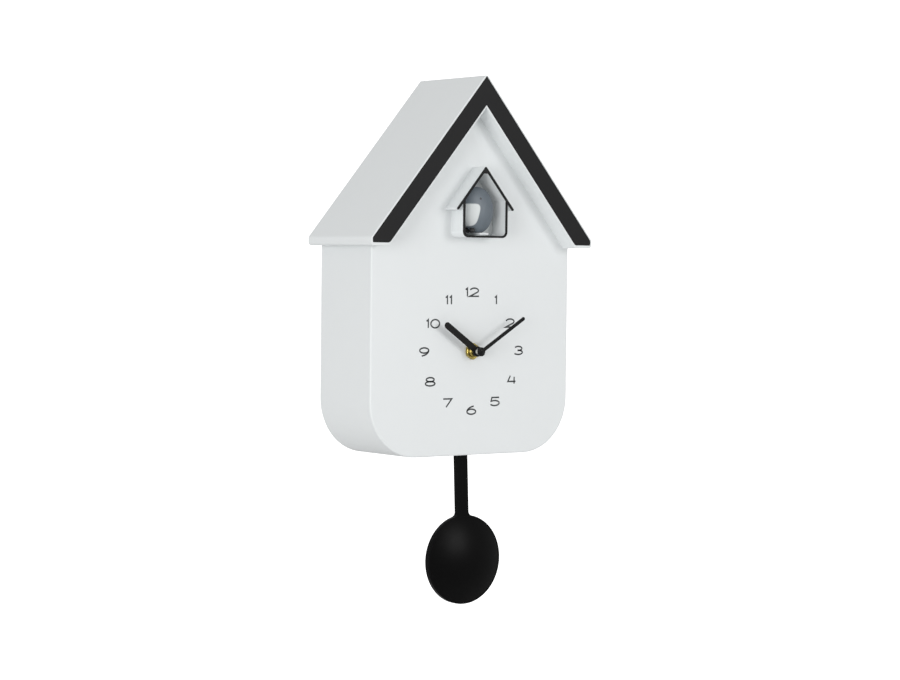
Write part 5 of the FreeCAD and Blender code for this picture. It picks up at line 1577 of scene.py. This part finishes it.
    def beak(self) -> bpy.types.Object:
        """A cone that droops: radius r0 (1 - u)^k + r1 along a line that bends down with u squared.

        Returns:
            The piece.
        """
        low, high = box_mm("bird_beak")
        root, flat, droop, inside = self.beak_size
        power, tip = self.beak_power
        u = np.linspace(0.0, 1.0, 14)[:, None]
        turn = np.linspace(0.0, 2 * math.pi, 32, endpoint=False)
        radius = root * (1 - u) ** power + tip
        x = high[0] + inside - u * (high[0] + inside - low[0]) + 0 * turn
        y = self.middle[1] + radius * flat * np.cos(turn)
        z = (low[2] + high[2]) / 2 - droop * u ** 2 + radius * np.sin(turn)
        sheaf = Sheaf()
        numbers = sheaf.tube(np.stack([x, y, z], axis=2))
        sheaf.faces += [numbers[0].tolist(), numbers[-1].tolist()]
        return sheaf.piece("beak", self.sharp[1])

    def build(self) -> None:
        """Make body, eyes, beak and feet."""
        sheaf = Sheaf()
        grid = self.skin()
        numbers = sheaf.tube(grid)
        sheaf.pole(numbers[0], grid[0].mean(axis=0))
        sheaf.pole(numbers[-1], grid[-1].mean(axis=0))
        breast_x, breast_z = self.middle[[0, 2]] + self.breast_at
        paint = BreastFinish("bird_paint", (0.145, 0.172, 0.198), (0.120, 0.146, 0.170), 0.42, 0.06,
                             0.008, breast=(0.66, 0.69, 0.69), drift=120.0,
                             centre=(breast_x, breast_z), reach=self.breast_reach)
        dress(sheaf.piece("bird_skin", self.sharp[0]), paint, "bird_grey", Body.BIRD, "bird_body")
        dress(self.beak(), BEAK_HORN, "bird_dark", Body.BIRD, "bird_beak")
        eye_x, eye_y, eye_down = self.eye_at
        for side, name in ((-1, "eye_front"), (1, "eye_back")):
            centre = np.array([self.middle[0] + eye_x, self.middle[1] + side * eye_y,
                               self.crown - eye_down])
            eye = self.ball(name, centre, np.array(self.eye_reach))
            dress(eye, EYE_GLOSS, "bird_dark", Body.BIRD)
        dress(merged_copy("bird_feet"), BEAK_HORN, "bird_dark", Body.BIRD)


# ---------------------------------------------------------------------------- works
# Finish of each slot of the record. The nodes of bird_grey and brass all have new pieces in their
# place, so their finishes here don't show.
NODE_FINISHES: dict[str, Finish] = {
    "black_plastic": BLACK_ABS, "hand_black": HAND_PAINT, "rubber": RUBBER,
    "movement_case": DARK_CASE, "gear_plastic": ACETAL, "magnet": FERRITE, "steel": ZINC,
    "nickel_contact": NICKEL, "copper_wire": COPPER, "cell_jacket": SLEEVE,
    "circuit_board": SOLDER_MASK, "switch_black": DARK_CASE, "cone_paper": CONE_PAPER,
    "bird_grey": BLACK_ABS, "bird_dark": BEAK_HORN, "white_plastic": WHITE_ABS,
    "hand_cap_black": HAND_PAINT, "brass": NICKEL,
}


class Works:
    """The frame nodes; those inside the case keep their frame meshes."""

    def build(self) -> None:
        """Give every frame node the finish of its record slot."""
        slots = {part["node"]: part["material_slot"] for part in frame["record"]["subparts"]}
        for node, thing in frame["nodes"].items():
            finish = NODE_FINISHES[slots[node]].build()
            if not thing.material_slots:
                thing.data.materials.append(finish)
            for holder in thing.material_slots:
                holder.material = finish


# ---------------------------------------------------------------------------- studio
@dataclass
class Studio:
    """Camera, soft lights and the pale floor.

    Attributes:
        azimuth: camera's direction, degrees from the wall's normal.
        elevation: look upwards (positive), degrees.
        roll: turn about the view line.
        aside: offset of the aimed point from the view line, right and up.
        distance: from the camera to that point, along the view line.
        lens: focal length.
        sensor: width of the camera's sensor.
        far: where the camera's view ends, in metres.
        aim_rise: height of the aimed point above the case's lower edge.
        floor_drop: depth of the floor below the part's origin, in metres.
        floor_half: half the floor's width, in metres.
        floor_run: where its flat part starts and ends along y, in metres.
        floor_bend: radius of its sweep, in metres.
        floor_top: height of its upright part above the flat one, in metres.
        paper: the floor's brightness.
        paper_glow: how strongly it glows for the camera alone.
        sky: strength of the even light on the surfaces, and for the camera.
        light_aim: point that the soft boxes face, in metres.
        boxes: name, place, width and power of each soft box.
    """

    azimuth: float = 36.669
    elevation: float = -1.881
    roll: float = 0.604
    aside: tuple[float, float] = (25.207, 57.172)
    distance: float = 1751.04
    lens: float = 97.802
    sensor: float = 36.0
    far: float = 100.0
    aim_rise: float = 140.9
    floor_drop: float = 1.5
    floor_half: float = 14.0
    floor_run: tuple[float, float] = (-9.0, 7.0)
    floor_bend: float = 2.5
    floor_top: float = 9.0
    paper: float = 0.82
    paper_glow: float = 0.95
    sky: tuple[float, float] = (0.60, 1.0)
    light_aim: tuple[float, float, float] = (0.0, -0.04, -0.12)
    boxes: tuple[tuple[str, tuple[float, float, float], float, float], ...] = (
        ("left_soft_box", (-2.0, -1.0, -0.1), 1.1, 20.0),
        ("front_soft_box", (0.90, -2.4, 0.30), 0.9, 15.4),
    )

    def camera(self) -> None:
        """Place the camera from its angles."""
        az, el, roll = (math.radians(a) for a in (self.azimuth, self.elevation, self.roll))
        look = Vector((math.sin(az) * math.cos(el), math.cos(az) * math.cos(el), math.sin(el)))
        right = Vector((math.cos(az), -math.sin(az), 0.0))
        up = right.cross(look)
        right, up = (right * math.cos(roll) + up * math.sin(roll),
                     -right * math.sin(roll) + up * math.cos(roll))
        aim = Vector((0.0, box_mm("roof_trim")[0][1], box_mm("front_case")[0][2] + self.aim_rise))
        place = aim - right * self.aside[0] - up * self.aside[1] - look * self.distance
        data = bpy.data.cameras.new("studio_camera")
        data.lens, data.sensor_width, data.clip_end = self.lens, self.sensor, self.far
        eye = bpy.data.objects.new("studio_camera", data)
        turn = Matrix((right, up, -look)).transposed().to_4x4()
        eye.matrix_world = Matrix.Translation(place * MM) @ turn
        bpy.context.scene.collection.objects.link(eye)
        bpy.context.scene.camera = eye

    def soft_light(self, name: str, place: tuple[float, float, float], size: float,
                   power: float) -> None:
        """A square soft box aimed at the clock's middle.

        Args:
            name: name of the light.
            place: its place, in metres.
            size: its width, in metres.
            power: its power, in watts.
        """
        data = bpy.data.lights.new(name, "AREA")
        data.shape, data.size, data.energy = "SQUARE", size, power
        lamp = bpy.data.objects.new(name, data)
        lamp.location = place
        away = Vector(place) - Vector(self.light_aim)
        lamp.rotation_euler = away.to_track_quat("Z", "Y").to_euler()
        bpy.context.scene.collection.objects.link(lamp)

    def surroundings(self) -> None:
        """White background for the eye, and a gentler even light for the surfaces."""
        world = bpy.data.worlds.new("studio")
        bpy.context.scene.world = world
        world.use_nodes = True
        tree = world.node_tree
        seen = tree.nodes.new("ShaderNodeLightPath").outputs["Is Camera Ray"]
        level = feed(tree, tree.nodes.new("ShaderNodeMapRange"), Value=seen, To_Min=self.sky[0],
                     To_Max=self.sky[1])
        feed(tree, tree.nodes["Background"], Color=(1.0, 1.0, 1.0, 1.0),
             Strength=level.outputs["Result"])

    def floor(self) -> None:
        """A wide pale floor that sweeps up behind the clock.

        Its section is (run + b sin t, b (1 - cos t)) between a flat and an upright straight.
        """
        (start, run), bend = self.floor_run, self.floor_bend
        turn = np.linspace(0.0, math.pi / 2, 24)
        depth = np.concatenate([[start, run], run + bend * np.sin(turn[1:]), [run + bend]])
        rise = np.concatenate([[0.0, 0.0], bend * (1 - np.cos(turn[1:])), [self.floor_top]])
        height = rise - self.floor_drop
        across = np.array([-self.floor_half, self.floor_half])
        grid = np.stack([np.repeat(across[None], len(depth), 0), np.repeat(depth[:, None], 2, 1),
                         np.repeat(height[:, None], 2, 1)], axis=2)
        first = np.arange(len(depth) - 1) * 2
        mesh = bpy.data.meshes.new("studio_floor")
        mesh.from_pydata(grid.reshape(-1, 3).tolist(), [],
                         np.stack([first, first + 1, first + 3, first + 2], axis=1).tolist())
        floor = bpy.data.objects.new("studio_floor", mesh)
        bpy.context.scene.collection.objects.link(floor)
        material = bpy.data.materials.new("studio_paper")
        material.use_nodes = True
        tree = material.node_tree
        seen = tree.nodes.new("ShaderNodeLightPath").outputs["Is Camera Ray"]
        feed(tree, tree.nodes["Principled BSDF"], Base_Color=(self.paper,) * 3 + (1.0,), Roughness=0.9,
             Emission_Color=(1.0, 1.0, 1.0, 1.0),
             Emission_Strength=maths(tree, "MULTIPLY", seen, self.paper_glow))
        mesh.materials.append(material)

    def build(self) -> None:
        """Set up camera, lights, background and floor."""
        self.camera()
        self.surroundings()
        self.floor()
        for box in self.boxes:
            self.soft_light(*box)
        bpy.context.scene.view_settings.view_transform = "Standard"


def main() -> None:
    """Build every sub-assembly in order."""
    logging.basicConfig(level=logging.INFO, format="%(name)s: %(message)s")
    Studio().build()
    Works().build()
    for part in (Case(), Roof(), Porch(), Dial(), Hands(), Pendulum(), Bird()):
        LOG.info("building %s", type(part).__name__)
        part.build()
    bpy.context.view_layer.update()


if __name__ == "__main__":
    main()
